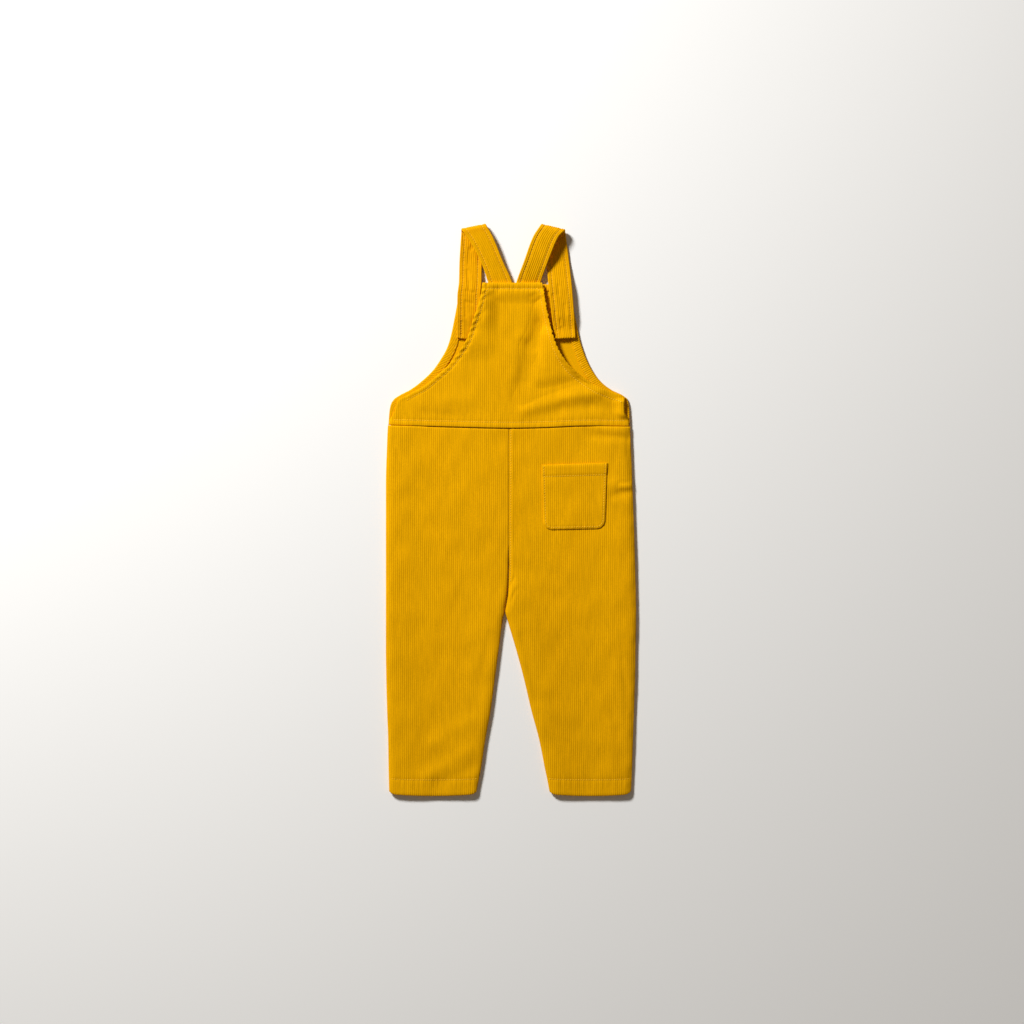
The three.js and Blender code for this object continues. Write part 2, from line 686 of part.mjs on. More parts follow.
const cloth = clothMaterial(MUSTARD);
const inside = clothMaterial(MUSTARD_INSIDE);
const hemTop = HEM_DEPTH + HEM_STEP;
const legTop = WAIST_HEIGHT - SEAM_GAP / 2;
const legStops = [0, 1.5, HEM_DEPTH, hemTop, CROTCH_HEIGHT, CROTCH_ROLL_TOP, legTop];
const backLegHeights = spread(legStops, 12.5);
const frontLegHeights = spread(legStops, 22);

add('back_leg_left', legPanel(LEG_LEFT, -1, true, backLegHeights, 12, 4), cloth);
add('back_leg_right', legPanel(LEG_RIGHT, 1, true, backLegHeights, 12, 4), cloth);
add('front_leg_left', legPanel(LEG_LEFT, -1, false, frontLegHeights, 6, 4), cloth);
add('front_leg_right', legPanel(LEG_RIGHT, 1, false, frontLegHeights, 6, 4), cloth);

// Heights of a bib's rows: its waist, its armhole corner, and both sides of its top hem's edge
function bibStops(top) {
  const hem = top - BIB_HEM;
  const waist = WAIST_HEIGHT + SEAM_GAP / 2;
  return [waist, ARMHOLE_CORNER, ARMHOLE_CORNER + 13, hem - BIB_HEM_STEP, hem, top - 1, top];
}

const frontTop = FRONT_BIB[FRONT_BIB.length - 1].height;
add('back_bib', bibPanel(BACK_BIB, true, spread(bibStops(BIB_TOP), 7), 28, 3), cloth);
add('front_bib', bibPanel(FRONT_BIB, false, spread(bibStops(frontTop), 10), 20, 3), inside);
add('strap_left', strapGeometry(STRAP_LEFT, 10, 10, 22), cloth);
add('strap_right', strapGeometry(STRAP_RIGHT, 10, 12, 22), cloth);
add('back_pocket', pocketGeometry(), cloth);

const buttonMaterial = new THREE.MeshStandardMaterial({ color: BUTTON_BROWN, roughness: 0.4, metalness: 0 });
const buttonY = BUTTON_HEIGHT - LENGTH / 2;
add('strap_button_left', buttonGeometry(), buttonMaterial).position.set(BUTTON_LEFT_X, buttonY, 0);
add('strap_button_right', buttonGeometry(), buttonMaterial).position.set(BUTTON_RIGHT_X, buttonY, 0);

export default garment;
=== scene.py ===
import bmesh
import bpy
import numpy as np
from mathutils import Matrix, Vector


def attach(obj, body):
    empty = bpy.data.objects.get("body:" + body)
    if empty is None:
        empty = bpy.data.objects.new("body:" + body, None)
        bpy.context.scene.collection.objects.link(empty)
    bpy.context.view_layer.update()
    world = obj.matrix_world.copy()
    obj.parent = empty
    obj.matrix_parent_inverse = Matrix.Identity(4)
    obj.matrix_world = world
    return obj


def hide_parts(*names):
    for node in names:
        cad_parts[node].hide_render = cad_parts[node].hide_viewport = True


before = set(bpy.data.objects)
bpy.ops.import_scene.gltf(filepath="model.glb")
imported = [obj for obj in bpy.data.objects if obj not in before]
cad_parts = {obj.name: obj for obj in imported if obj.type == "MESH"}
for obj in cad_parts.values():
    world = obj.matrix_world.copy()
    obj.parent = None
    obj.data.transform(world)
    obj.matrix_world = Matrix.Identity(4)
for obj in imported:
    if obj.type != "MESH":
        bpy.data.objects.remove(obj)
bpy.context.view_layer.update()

bl_info = {
    "name": "Corduroy dungarees",
    "version": (1, 0, 0),
    "blender": (4, 5, 0),
    "location": "3D View > Sidebar > Dungarees",
    "description": "Builds a child's corduroy dungarees laid flat, with wales, hems and topstitching",
    "category": "Add Mesh",
}

MM = 0.001
LENGTH = 628.5
SEAM_GAP = 0.3
LAYER_GAP = 0.3
WALL = 1.5
HEM_WALL = 2.2

# Meshes: columns to each wale, distance between rows, steps across plain faces, and in metres the
# distance at which points are welded
PER_WALE = 6
PLAIN_PER_WALE = 4
LEG_STEP = 2.4
PLAIN_LEG_STEP = 8
BACK_BIB_STEP = 1.8
ARMHOLE_STEP = 0.8
FRONT_BIB_STEP = 4
ROLL_STEPS = 4
LEG_INSIDE_STEPS = 30
BIB_INSIDE_STEPS = 60
POCKET_INSIDE_STEPS = 24
CORNER_STEPS = 8
WELD = 2e-6
SHORTEST_EDGE = 1e-6

# Cloth that comes to rest on the layer below it
PRESSED_IN = 0.5
LOWEST_FACE = 2 * WALL + LAYER_GAP - PRESSED_IN
SETTLE_WIDTH = 0.8
THINNEST = 1

# Trousers
LEG_FLAT_Z = 4
LEG_HEM_SWELL = 0.9
LEG_HEM_SWELL_REACH = 22
LEG_WAIST_SWELL = 0.2
LEG_WAIST_SWELL_REACH = 24
HEM_DEPTH = 18
CROTCH_HEIGHT = 203
CROTCH_ROLL_TOP = 258
CROTCH_OPENING = 0.85
CROTCH_OPENING_HEIGHT = 234
CROTCH_OPENING_REACH = 26
CROTCH_HOLLOW = 3.2
CROTCH_HOLLOW_REACH_LEFT = 1.1
CROTCH_HOLLOW_REACH_RIGHT = 2.4
CENTRE_SEAM_SINK = 0.7
CENTRE_STITCH = 2.1
SIDE_SEAM_Z = 3.3
SIDE_FOLD_WIDTH = 8
SIDE_FOLD_TOP = 6.3
SIDE_PUFF_REACH = 26
SIDE_HOLLOW = 2.4
SIDE_HOLLOW_REACH = 3
HEM_BOW = 2.2
HEM_CORNER_LIFT = 4
HEM_CURVE_REACH = 36
HEM_SCALLOP = 0.6
CUT_EDGE = 0.5

# Bibs
WAIST_HEIGHT = 404
WAIST_CURVE_REACH = 40
WAIST_CURVE_REACH_UP = 30
BIB_TOP = 563.8
BIB_HEM = 6.5
BACK_BIB_FLAT_Z = 4.9
CHEST_SWELL = 0.7
BACK_BIB_ROLL_TOP = 424
ARMHOLE_CORNER = 437
BIB_FOLD_WIDTH = 6
ARMHOLE_STITCH = 5
ARMHOLE_STITCH_FOOT = 440
ARMHOLE_FOOT_WIDER = 2.4
ARMHOLE_SCALLOP = 0.8
ARMHOLE_WAVE = 0.35
ARMHOLE_WAVE_PITCH = 4.3
ARMHOLE_BEADS = 1.6
ARMHOLE_PUCKERS = {"left": 0.62, "right": 0.24}
ARMHOLE_CURL = 4.4
ARMHOLE_CURL_END = 3.4
ARMHOLE_CURL_WIDTH = 7
WAIST_CORNER_TUCK = 3.2
WAIST_STITCH = 6.6
ROPE_PITCH = 8.4
BIB_RIM = 0.6
FRONT_BAND = 10
TOP_BAND = 8
TURNED_HEM_CROWN = 1.3
TURNED_HEM_RIBS = 2.6

# Straps
STRAP_HALF = 1.35
STRAP_EDGE_HALF = 0.8
STRAP_EDGE_WIDTH = 2.2
STRAP_REST_Z = HEM_WALL + LAYER_GAP + STRAP_HALF
STRAP_FLOOR_Z = STRAP_HALF
STRAP_STITCH = 4.6
STRAP_RIBS = 1.7
STRAP_SCALLOP = 1.3
STRAP_CREASE_DEPTH = 3.2
STRAP_CREASE_LIMIT = 1.3
STRAP_UNDERSIDE_CREASE = 0.5
STRAP_CURL_LENGTH = 16
STRAP_STEPS = {"run_steps": 50, "fold_steps": 30, "free_steps": 110}

# Buttons under the front bib
BUTTON_RADIUS = 7.5
BUTTON_THICKNESS = 2.2
BUTTON_HEIGHT = 542
BUTTON_LEFT_X = -46
BUTTON_RIGHT_X = 56
BUTTON_RISE = BUTTON_THICKNESS + LAYER_GAP
BUTTON_FLAT_REACH = 12
BUTTON_RISE_REACH = 32
BUTTON_HOLE_RADIUS = 0.9
BUTTON_HOLE_OFFSET = 1.4

# Pocket
POCKET_WALL = 1.5
POCKET_HEM = 13
POCKET_HEM_RISE = 0.35
POCKET_CORNER = 9
POCKET_STITCH = 2.4
POCKET_MOUTH_LIFT = 0.3
POCKET_STEP = 2.4
POCKET_FOOT = {"left": 36, "right": 103, "height": 292.6, "slope": 1.4}
POCKET_TOP = {"left": 33.6, "right": 105.8, "height": 364, "slope": 2.2}
POCKET_TALL = POCKET_TOP["height"] - POCKET_FOOT["height"]

# Stage, in metres, and colours that no setting holds
SHEEN_TINT = (1.0, 0.55, 0.0, 1)
FLOOR_DROP = 0.0002
FLOOR_COLOUR = (0.9, 0.9, 0.89, 1)
FILL_COLOUR = (1, 0.86, 0.7, 1)
KEY_PLACE = (-1.45, 1.75, 1.6)
PHOTO_MIDDLE = (1.1 * MM, -2.1 * MM)
SENSOR_WIDTH = 36

# Stretches over which a shape comes in, from where it starts to where it is whole
CENTRE_SEAM_STARTS = (CROTCH_HEIGHT + 10, CROTCH_HEIGHT + 30)
CROTCH_HOLLOW_STARTS = (CROTCH_HEIGHT - 4, CROTCH_HEIGHT + 6)
CROTCH_HOLLOW_ENDS = (CROTCH_HEIGHT + 42, CROTCH_HEIGHT + 76)
CHEST_SWELLS = (410, 470)
LEFT_STRAP_SIDE = (-30, -12)
OVER_LEFT_STRAP = (476, 500)
OVER_STRAP_ENDS = (540, 554)
ARMHOLE_STITCH_NEARS = (455, 515)
ARMHOLE_SEWN = (425, 445)
ARMHOLE_ROPED = (445, 470)
ARMHOLE_RIM = (415, 430)
ARMHOLE_BEADED = (440, 450)
ARMHOLE_CURLS = (450, 484)
ARMHOLE_CURL_ENDS = (549, 558)
SLACK_ENDS = (535, 552)
TUCK_STARTS = (411, 418)
TUCK_ENDS = (433, 438)
TUCK_EDGE = (0, 0.9)
TUCK_INNER_END = (3, 15)
STRAP_LEAVES_BIB = (BIB_TOP + 2, BIB_TOP + 28)
STRAP_TURNED_SHARE = (0.3, 0.36)

# Sunk lines that seams and stitches pull into the cloth: how deep and how wide
STITCH_SINK = 0.2
GUTTERS = {
    "leg_hem": {"depth": 0.35, "width": 1.1},
    "centre_stitch": {"depth": 0.35, "width": 0.8},
    "armhole": {"depth": 0.4, "width": 1.2},
    "bib_top": {"depth": 0.75, "width": 1.3},
    "bib_waist": {"depth": 0.4, "width": 1.2},
    "waist_edge": {"depth": 0.25, "width": 0.5},
    "turned_hem": {"depth": 0.35, "width": 0.9},
    "strap": {"depth": 0.65, "width": 1.1},
    "pocket_hem": {"depth": 0.4, "width": 1.1},
    "pocket_edge": {"depth": 0.35, "width": 0.9},
}
# Small pulls of the thread along its line: their rise, how fast they turn and wander, and their reach
PUCKERS = {
    "leg_hem": {"rise": 0.12, "turn": 0.9, "wander": 0.31, "width": 7},
    "bib_top": {"rise": 0.14, "turn": 1.1, "wander": 0.4, "width": 4},
    "bib_waist": {"rise": 0.1, "turn": 0.8, "wander": 0.23, "width": 5},
    "strap": {"rise": 0.1, "turn": 1.3, "wander": 0.4, "width": 3},
    "pocket_edge": {"rise": 0.12, "turn": 0.9, "wander": 0, "width": 2.5},
}

LEG_LEFT = {
    "height": [0, 28, 62, 95, 128, 161, 194, 203, 342, 390, 412],
    "outer": [-134, -134.5, -135, -136.2, -137, -137.5, -137.5, -137.5, -137.5, -136, -134.8],
    "inseam": [-37.5, -33, -28, -22, -17.6, -13.2, -8.8, -6.6, -6.6, -6.6, -6.6],
}
LEG_RIGHT = {
    "height": [0, 28, 62, 95, 128, 161, 194, 203, 258, 342, 390, 412],
    "outer": [132, 133, 134.2, 135.3, 136.4, 137, 137.5, 137.5, 136.4, 133.5, 131.5, 130.6],
    "inseam": [42, 37.4, 30.8, 22, 14.3, 5.5, -4.2, -6.6, -6.6, -6.6, -6.6, -6.6],
}
CENTRE_SEAM = {
    "height": [203, 225, 258, 342, 412],
    "across": [-6.6, -3.4, -2.5, -2.3, -2.2],
}
WAIST = {
    "across": [-140, -60, -2, 32, 86, 135],
    "rise": [3.6, 1.3, 0, 0.6, 2.6, 2],
}
BACK_BIB = {
    "height": [402, 408, 414, 422, 430, 437, 440, 444, 450.5, 461.5, 474, 489, 503, 520, 542, 555,
               563.8],
    "left": [-134.8, -134, -131.5, -127.6, -126.2, -123, -115.5, -108, -96, -82.5, -68.5, -57, -48.5,
             -43, -35.5, -32.6, -31.4],
    "right": [130.6, 129.6, 128.4, 124.8, 124.8, 125.2, 123.6, 111.5, 95, 78.5, 64, 53.7, 47.8, 43.2,
              38.6, 37, 34.8],
}
FRONT_BIB = {
    "height": [402, 420, 430, 436, 441, 446.6, 457.6, 468.6, 479.6, 490.6, 501.6, 523.6, 545.6,
               562.6],
    "left": [-134.8, -133.8, -132.4, -129, -121.6, -110.6, -96.3, -85.2, -77.6, -71.2, -67.2, -62.4,
             -58.4, -56.2],
    "right": [130.6, 130.4, 129.8, 128.2, 122, 110, 96.8, 89, 83.4, 79.2, 75.8, 71.2, 66.5, 63.5],
}

FOLD_COLUMNS = ("x1", "y1", "x2", "y2", "rise", "width")


def folds(*rows):
    """Folds from one place to another, each with its rise over the flat cloth and its width."""
    return [dict(zip(FOLD_COLUMNS, row)) for row in rows]


BIB_FOLDS = folds(
    (34, 545, 20, 492, -2, 11),
    (20, 492, 13, 440, -1.5, 12),
    (96, 462, 12, 436, -1.3, 9),
    (100, 446, 14, 424, 1.1, 8),
    (-108, 433, -52, 434, 0.6, 9),
    (46, 505, 48, 470, 0.9, 10),
)
LEG_FOLDS = folds(
    (132, 334, 112, 330, -1.2, 5),
    (132, 341, 108, 343, 0.8, 6),
    (130, 392, 84, 396, -0.6, 7),
    (-92, 22, -46, 50, 0.9, 8),
    (-78, 14, -42, 32, -0.8, 7),
    (-84, 58, -46, 84, 0.6, 9),
    (14, 176, 28, 106, -0.7, 6),
    (118, 70, 124, 20, -0.8, 8),
)
# Smaller creases, which are in the cloth alone
BIB_CREASES = folds(
    (37, 545, 33, 520, -1.2, 8),
    (32, 516, 23, 497, -1.5, 8),
    (22, 493, 14, 458, -1.2, 9),
    (23, 535, 14, 506, 0.9, 9),
    (13, 502, 3, 462, 0.9, 9),
    (-13.5, 556, -26, 548, -0.5, 4),
    (-30, 532, -41, 511, -0.55, 3.4),
    (-41, 511, -51, 490, -0.5, 3.4),
    (-51, 490, -66, 473, -0.45, 3.6),
    (36, 506, 38, 473, 0.6, 6),
    (114, 426, 88, 428.5, -0.8, 7),
    (88, 428.5, 56, 425, -1, 8),
    (56, 425, 18, 416, -0.8, 8),
    (94, 441, 58, 439, 0.7, 6),
    (76, 457, 34, 450, -0.6, 6),
    (34, 553, 22, 549, -0.5, 3),
    (-120, 412, -127, 428, -0.5, 3),
    (-96, 421, -60, 417, -0.3, 4),
)
LEG_CREASES = folds(
    (128, 392, 90, 394, -0.9, 3.4),
    (124, 399, 96, 400, 0.4, 3),
    (128, 390, 127.5, 373, -0.6, 2.6),
    (131, 345, 119, 344, -0.7, 1.8),
    (132, 340, 120, 339.5, 0.5, 1.8),
    (132, 334.5, 118, 334, -0.6, 1.8),
    (3.5, 240, -0.5, 231, -0.6, 1.6),
    (4, 226, 0.5, 214, -0.6, 1.8),
    (7, 233, 1, 222, 0.4, 2),
    (-129, 388, -124, 372, -0.5, 3),
    (122, 150, 128, 96, -0.5, 4),
    (-24, 176, -42, 92, -0.5, 6),
)
STRAP_CREASES_LEFT = folds(
    (-52.1, 619.5, -51.5, 618, -0.9, 2),
    (-52.3, 616, -52, 604, -0.45, 1.2),
    (-45.4, 600, -42.8, 603.5, -0.9, 1.7),
    (-46.6, 596, -46.4, 585, -0.4, 1.5),
    (-41, 598, -39, 588, 0.35, 2.2),
    (-48, 577, -46, 554, -0.6, 1.3),
    (-43, 572, -42, 556, 0.3, 1.6),
    (-50, 543, -43, 541, -0.7, 1.5),
    (-49, 555, -42, 552.5, -0.5, 1.4),
    (-50.2, 541, -50, 527, -0.5, 1.3),
    (-53.9, 521, -53.6, 507, -0.4, 1.2),
    (-45, 527, -46, 512, 0.35, 2.4),
)
STRAP_CREASES_RIGHT = folds(
    (52, 560, 52.3, 551, -0.45, 1.6),
    (45.6, 549.5, 46.6, 547.5, -0.6, 1.4),
    (48.2, 532, 48.6, 523, -0.4, 1.3),
    (54.3, 523.5, 54.6, 519.5, -0.6, 1.3),
    (58.6, 539, 59.6, 516, -0.35, 1.8),
    (54.6, 514, 55, 505.5, -0.5, 1.5),
    (49.2, 511, 49.4, 505.5, -0.4, 1.4),
    (63, 549, 63.6, 528, 0.3, 2),
)
# Fine slack of the cloth between its folds: turns of each wave in a millimetre, its start and its rise
SLACK_WAVES = [
    {"across": 0.017, "up": 0.011, "start": 0.032, "rise": 0.16},
    {"across": -0.011, "up": 0.019, "start": 0.224, "rise": 0.15},
    {"across": 0.031, "up": -0.014, "start": 0.464, "rise": 0.08},
    {"across": 0.006, "up": 0.036, "start": 0.656, "rise": 0.06},
    {"across": -0.043, "up": 0.023, "start": 0.144, "rise": 0.05},
]

# In each strap, the share that pulls the lower run's colour towards the groove colour is painted shade,
# for the shade the upper run casts on it
STRAP_LEFT = {
    "fold_radius": 3.2,
    "lower_run_painted_shade": 1,
    "end_curl": -0.9,
    "end_slope": -3,
    "upper_left": {"height": [558.5, 565, 581, 608, 622.2], "x": [-23, -25.5, -30.8, -44.2, -54.5]},
    "upper_right": {"height": [558.5, 565, 587.4, 613.8, 627.6], "x": [2.6, 1.1, -8.8, -19.8, -27.5]},
    "lower_left": {"height": [504, 549, 565, 587, 622.2], "x": [-59.4, -58.9, -57.2, -56.7, -54.5]},
    "lower_right": {"height": [504, 545.6, 564, 582, 627.6], "x": [-34.1, -33.6, -32.2, -31.9, -27.5]},
}
STRAP_RIGHT = {
    "fold_radius": 5.5,
    "lower_run_painted_shade": 0.35,
    "end_curl": 1.6,
    "end_slope": 1,
    "upper_left": {"height": [558.5, 565, 587.4, 613.8, 627.2], "x": [4.2, 6, 14.3, 24.2, 33]},
    "upper_right": {
        "height": [558.5, 565, 582, 595, 613.8, 621],
        "x": [30.4, 32.8, 39, 44, 52.3, 59.4],
    },
    "lower_left": {
        "height": [503, 523.6, 545.6, 564.3, 580.8, 627.2],
        "x": [48.4, 45.1, 42.9, 40.7, 39.6, 33],
    },
    "lower_right": {
        "height": [503, 523.6, 545.6, 570, 605, 621],
        "x": [71, 69.9, 68.2, 66, 61.8, 59.4],
    },
}


class ClothSettings(bpy.types.PropertyGroup):
    """Sizes and colours of the corduroy and its sewing"""

    wale_pitch: bpy.props.FloatProperty(
        name="Wale pitch", description="Distance between the ribs of the corduroy",
        default=2.27 * MM, unit="LENGTH", precision=5)
    wale_height: bpy.props.FloatProperty(
        name="Wale height", description="Height of the ribs over the grooves between them",
        default=0.225 * MM, unit="LENGTH", precision=5)
    stitch_pitch: bpy.props.FloatProperty(
        name="Stitch pitch", description="Distance from one topstitch to the next",
        default=2.8 * MM, unit="LENGTH", precision=5)
    stitch_length: bpy.props.FloatProperty(
        name="Stitch length", description="Length of thread that shows in each topstitch",
        default=2.2 * MM, unit="LENGTH", precision=5)
    thread_width: bpy.props.FloatProperty(
        name="Thread width", description="Thickness of the sewing thread",
        default=0.62 * MM, unit="LENGTH", precision=5)
    cloth_colour: bpy.props.FloatVectorProperty(
        name="Cloth", description="Colour of the ribs", subtype="COLOR", size=3,
        default=(0.8, 0.4, 0.0))
    groove_colour: bpy.props.FloatVectorProperty(
        name="Grooves", description="Colour between the ribs", subtype="COLOR", size=3,
        default=(0.71, 0.32, 0.0))
    inside_colour: bpy.props.FloatVectorProperty(
        name="Inside", description="Colour of the smooth inside face", subtype="COLOR", size=3,
        default=(0.76, 0.37, 0.0))
    thread_colour: bpy.props.FloatVectorProperty(
        name="Thread", description="Colour of the topstitching", subtype="COLOR", size=3,
        default=(0.93, 0.6, 0.04))
    button_colour: bpy.props.FloatVectorProperty(
        name="Buttons", description="Colour of the buttons", subtype="COLOR", size=3,
        default=(0.11, 0.04, 0.008))


class StageSettings(bpy.types.PropertyGroup):
    """Camera, light and floor"""

    camera_distance: bpy.props.FloatProperty(
        name="Camera distance", description="Height of the camera over the garment",
        default=2.66, unit="LENGTH")
    lens: bpy.props.FloatProperty(name="Lens", description="Focal length in millimetres", default=85)
    key_power: bpy.props.FloatProperty(
        name="Key light", description="Power of the soft light from the upper left", default=108,
        unit="POWER")
    key_width: bpy.props.FloatProperty(
        name="Key width", description="Diameter of the soft light", default=0.6, unit="LENGTH")
    fill: bpy.props.FloatProperty(
        name="Fill", description="Strength of the light from all round", default=0.15)
    floor_size: bpy.props.FloatProperty(
        name="Floor", description="Side of the square floor", default=6, unit="LENGTH")


def smooth(start, end, value):
    """0 before the start, 1 past the end and a soft slope between them."""
    t = np.clip((np.asarray(value, float) - start) / (end - start), 0, 1)
    return t * t * (3 - 2 * t)


def along(table, column, place, key="height"):
    """Value of a column at a place along the table, on a curve that never overshoots its rows."""
    xs = np.array(table[key], float)
    ys = np.array(table[column], float)
    place = np.clip(place, xs[0], xs[-1])
    step = np.diff(xs)
    slope = np.diff(ys) / step
    product = slope[:-1] * slope[1:]
    tangent = np.concatenate([slope[:1], np.zeros(len(xs) - 2), slope[-1:]])
    same = product > 0
    tangent[1:-1][same] = 2 * product[same] / (slope[:-1] + slope[1:])[same]
    row = np.clip(np.searchsorted(xs, place, side="right") - 1, 0, len(xs) - 2)
    t = (place - xs[row]) / step[row]
    return (ys[row] * (2 * t**3 - 3 * t**2 + 1) + step[row] * tangent[row] * (t**3 - 2 * t**2 + t)
            + ys[row + 1] * (3 * t**2 - 2 * t**3) + step[row] * tangent[row + 1] * (t**3 - t**2))


def bump(distance, width):
    """1 at no distance, falling off softly over the width."""
    return np.exp(-((distance / width) ** 2))


def gutter(name, distance):
    """Depth of a sunk line at a distance from its middle."""
    line = GUTTERS[name]
    return line["depth"] * bump(distance, line["width"])


def pucker(name, run, distance):
    """Rise of the pulls at a place along a line of stitches and at a distance beside it."""
    pull = PUCKERS[name]
    wave = np.sin(run * pull["turn"] + np.sin(run * pull["wander"]))
    return pull["rise"] * wave * bump(distance, pull["width"])


def beside(line, side):
    """Unit direction at right angles to a line at each of its points, to its right for side 1."""
    run = np.stack([np.gradient(line[:, 0]), np.gradient(line[:, 1])], axis=1)
    run /= np.linalg.norm(run, axis=1)[:, None]
    return np.stack([run[:, 1], -run[:, 0]], axis=1) * side


def fold_rise(rows, x, height):
    """Rise of all the folds of a table at each point."""
    rise = 0
    for fold in rows:
        dx, dy = fold["x2"] - fold["x1"], fold["y2"] - fold["y1"]
        t = np.clip(((x - fold["x1"]) * dx + (height - fold["y1"]) * dy) / (dx * dx + dy * dy), 0, 1)
        distance = np.hypot(x - fold["x1"] - t * dx, height - fold["y1"] - t * dy)
        rise = rise + fold["rise"] * bump(distance, fold["width"])
    return rise


def slack(x, height):
    """Fine waves of the cloth between its folds."""
    rise = 0
    for wave in SLACK_WAVES:
        turn = wave["across"] * x + wave["up"] * height + wave["start"]
        rise = rise + wave["rise"] * np.sin(2 * np.pi * turn + np.sin(0.03 * x + 0.05 * height))
    return rise


def wale_wave(place):
    """1 on the crest of a rib and 0 in the groove beside it, with crests broader than grooves."""
    pitch = settings().wale_pitch / MM
    return (0.5 + 0.5 * np.cos(2 * np.pi * place / pitch)) ** 0.7


def wale_wander(x, height):
    """Slight waviness of the ribs across the cloth."""
    return (0.5 * np.sin(0.019 * height + 0.03 * x) + 0.3 * np.sin(0.047 * height - 0.021 * x + 1.3)
            + 0.12 * np.sin(0.16 * height + 0.11 * x))


def wale_rise(pile):
    """Height of the ribs over the cloth's middle level."""
    return settings().wale_height / MM * (pile - 0.55)


def settings():
    """The cloth's sizes and colours, which the sidebar shows."""
    return bpy.context.scene.cloth_settings


def spread(stops, step):
    """Values from stop to stop in even steps, with each stop kept."""
    values = [float(stops[0])]
    for start, end in zip(stops[:-1], stops[1:]):
        count = max(1, round((end - start) / step))
        values.extend(start + (end - start) * n / count for n in range(1, count + 1))
    return np.array(values)


def ribbed_places(left, right, per_wale):
    """Places across a panel, row by row: columns that follow the wales, kept within its edges."""
    step = settings().wale_pitch / MM / per_wale
    low, high = left.min(), right.max()
    inner = np.arange(np.ceil(low / step), np.floor(high / step) + 1) * step
    columns = np.concatenate([[low - step], inner, [high + step]])
    return np.clip(columns[None, :], left[:, None], right[:, None])


def add_object(name, data):
    """A new object of the scene."""
    made = bpy.data.objects.new(name, data)
    bpy.context.scene.collection.objects.link(made)
    return made


class Cloth:
    """Points and faces of one closed piece, gathered surface by surface."""

    def __init__(self):
        self.points = []
        self.pile = []
        self.faces = []
        self.count = 0

    def add_points(self, x, height, z, pile):
        """Adds points, each with its place on the pile from groove to crest, and numbers them."""
        x, height, z, pile = np.broadcast_arrays(x, height, z, pile)
        place = np.stack([x, height - LENGTH / 2, z], axis=-1).reshape(-1, 3) * MM
        index = np.arange(self.count, self.count + len(place)).reshape(x.shape)
        self.points.append(place)
        self.pile.append(np.asarray(pile, float).ravel())
        self.count += len(place)
        return index

    def add_grid(self, index, facing_up):
        """Faces of a grid of points with its rows up the garment."""
        a, b = index[:-1, :-1], index[:-1, 1:]
        c, d = index[1:, 1:], index[1:, :-1]
        quads = np.stack([a, b, c, d] if facing_up else [a, d, c, b], axis=-1)
        self.faces.extend(quads.reshape(-1, 4).tolist())

    def add_strip(self, one, two):
        """Faces between two rows of points with the same count."""
        for k in range(len(one) - 1):
            self.faces.append([one[k], one[k + 1], two[k + 1], two[k]])

    def add_zip(self, one, two, one_x, two_x):
        """Triangles between two rows of points with different counts, both in order of x."""
        i = j = 0
        while i < len(one) - 1 or j < len(two) - 1:
            forward = j == len(two) - 1 or (i < len(one) - 1 and one_x[i + 1] <= two_x[j + 1])
            if forward:
                self.faces.append([one[i], one[i + 1], two[j]])
                i += 1
            else:
                self.faces.append([one[i], two[j + 1], two[j]])
                j += 1

    def finish(self, name, material):
        """Makes the piece, with the points that lie on each other welded."""
        mesh = bpy.data.meshes.new(name)
        mesh.from_pydata(np.concatenate(self.points).tolist(), [], self.faces)
        layer = mesh.attributes.new("pile", "FLOAT", "POINT")
        layer.data.foreach_set("value", np.concatenate(self.pile))
        work = bmesh.new()
        work.from_mesh(mesh)
        bmesh.ops.remove_doubles(work, verts=work.verts, dist=WELD)
        bmesh.ops.dissolve_degenerate(work, edges=work.edges, dist=SHORTEST_EDGE)
        for face in work.faces:
            face.smooth = True
        work.to_mesh(mesh)
        work.free()
        mesh.materials.append(material)
        return add_object(name, mesh)


def close_shell(cloth, fine, coarse, fine_x, coarse_x, fine_is_up):
    """Closes a wall between a ribbed face and a plain one, both grids with their rows up the garment."""
    cloth.add_grid(fine, fine_is_up)
    cloth.add_grid(coarse, not fine_is_up)
    sides = [(fine[:, 0], coarse[:, 0], True), (fine[:, -1], coarse[:, -1], False)]
    for fine_edge, coarse_edge, is_left in sides:
        if is_left == fine_is_up:
            cloth.add_strip(fine_edge, coarse_edge)
        else:
            cloth.add_strip(coarse_edge, fine_edge)
    before = len(cloth.faces)
    cloth.add_zip(fine[0], coarse[0], fine_x[0], coarse_x[0])
    middle = len(cloth.faces)
    cloth.add_zip(fine[-1], coarse[-1], fine_x[-1], coarse_x[-1])
    flip = (before, middle) if fine_is_up else (middle, len(cloth.faces))
    for k in range(*flip):
        cloth.faces[k].reverse()


def roll_sine(distance, width):
    """Quarter circle from 0 at an edge to 1 at the end of its roll."""
    return np.sqrt(np.clip(1 - np.clip(1 - distance / width, 0, 1) ** 2, 0, 1))


def rolled_outer(x, left, right, face, seam, left_turn, right_turn, up, width):
    """Height of the outer face of a panel whose edges roll over towards the seam."""
    from_left, from_right = 1 - roll_sine(x - left, width), 1 - roll_sine(right - x, width)
    short = left_turn * from_left + right_turn * from_right
    return face - up * np.abs(face - seam) * short


def inner_places(left, right, width, steps, middle):
    """Places of the plain face across a panel: x, the share of the roll still to go and the side."""
    angles = np.pi / 2 * np.arange(steps) / steps
    left, right = left[:, None], right[:, None]
    rolling = width * (1 - np.cos(angles))[None, :]
    flat = np.linspace(0, 1, middle + 1)[None, :]
    x = np.concatenate([left + rolling, left + width + (right - left - 2 * width) * flat,
                        right - rolling[:, ::-1]], axis=1)
    short = np.concatenate([1 - np.sin(angles), np.zeros(middle + 1), (1 - np.sin(angles))[::-1]])
    side = np.concatenate([np.ones(steps), np.zeros(middle + 1), -np.ones(steps)])
    return x, short[None, :], side[None, :]


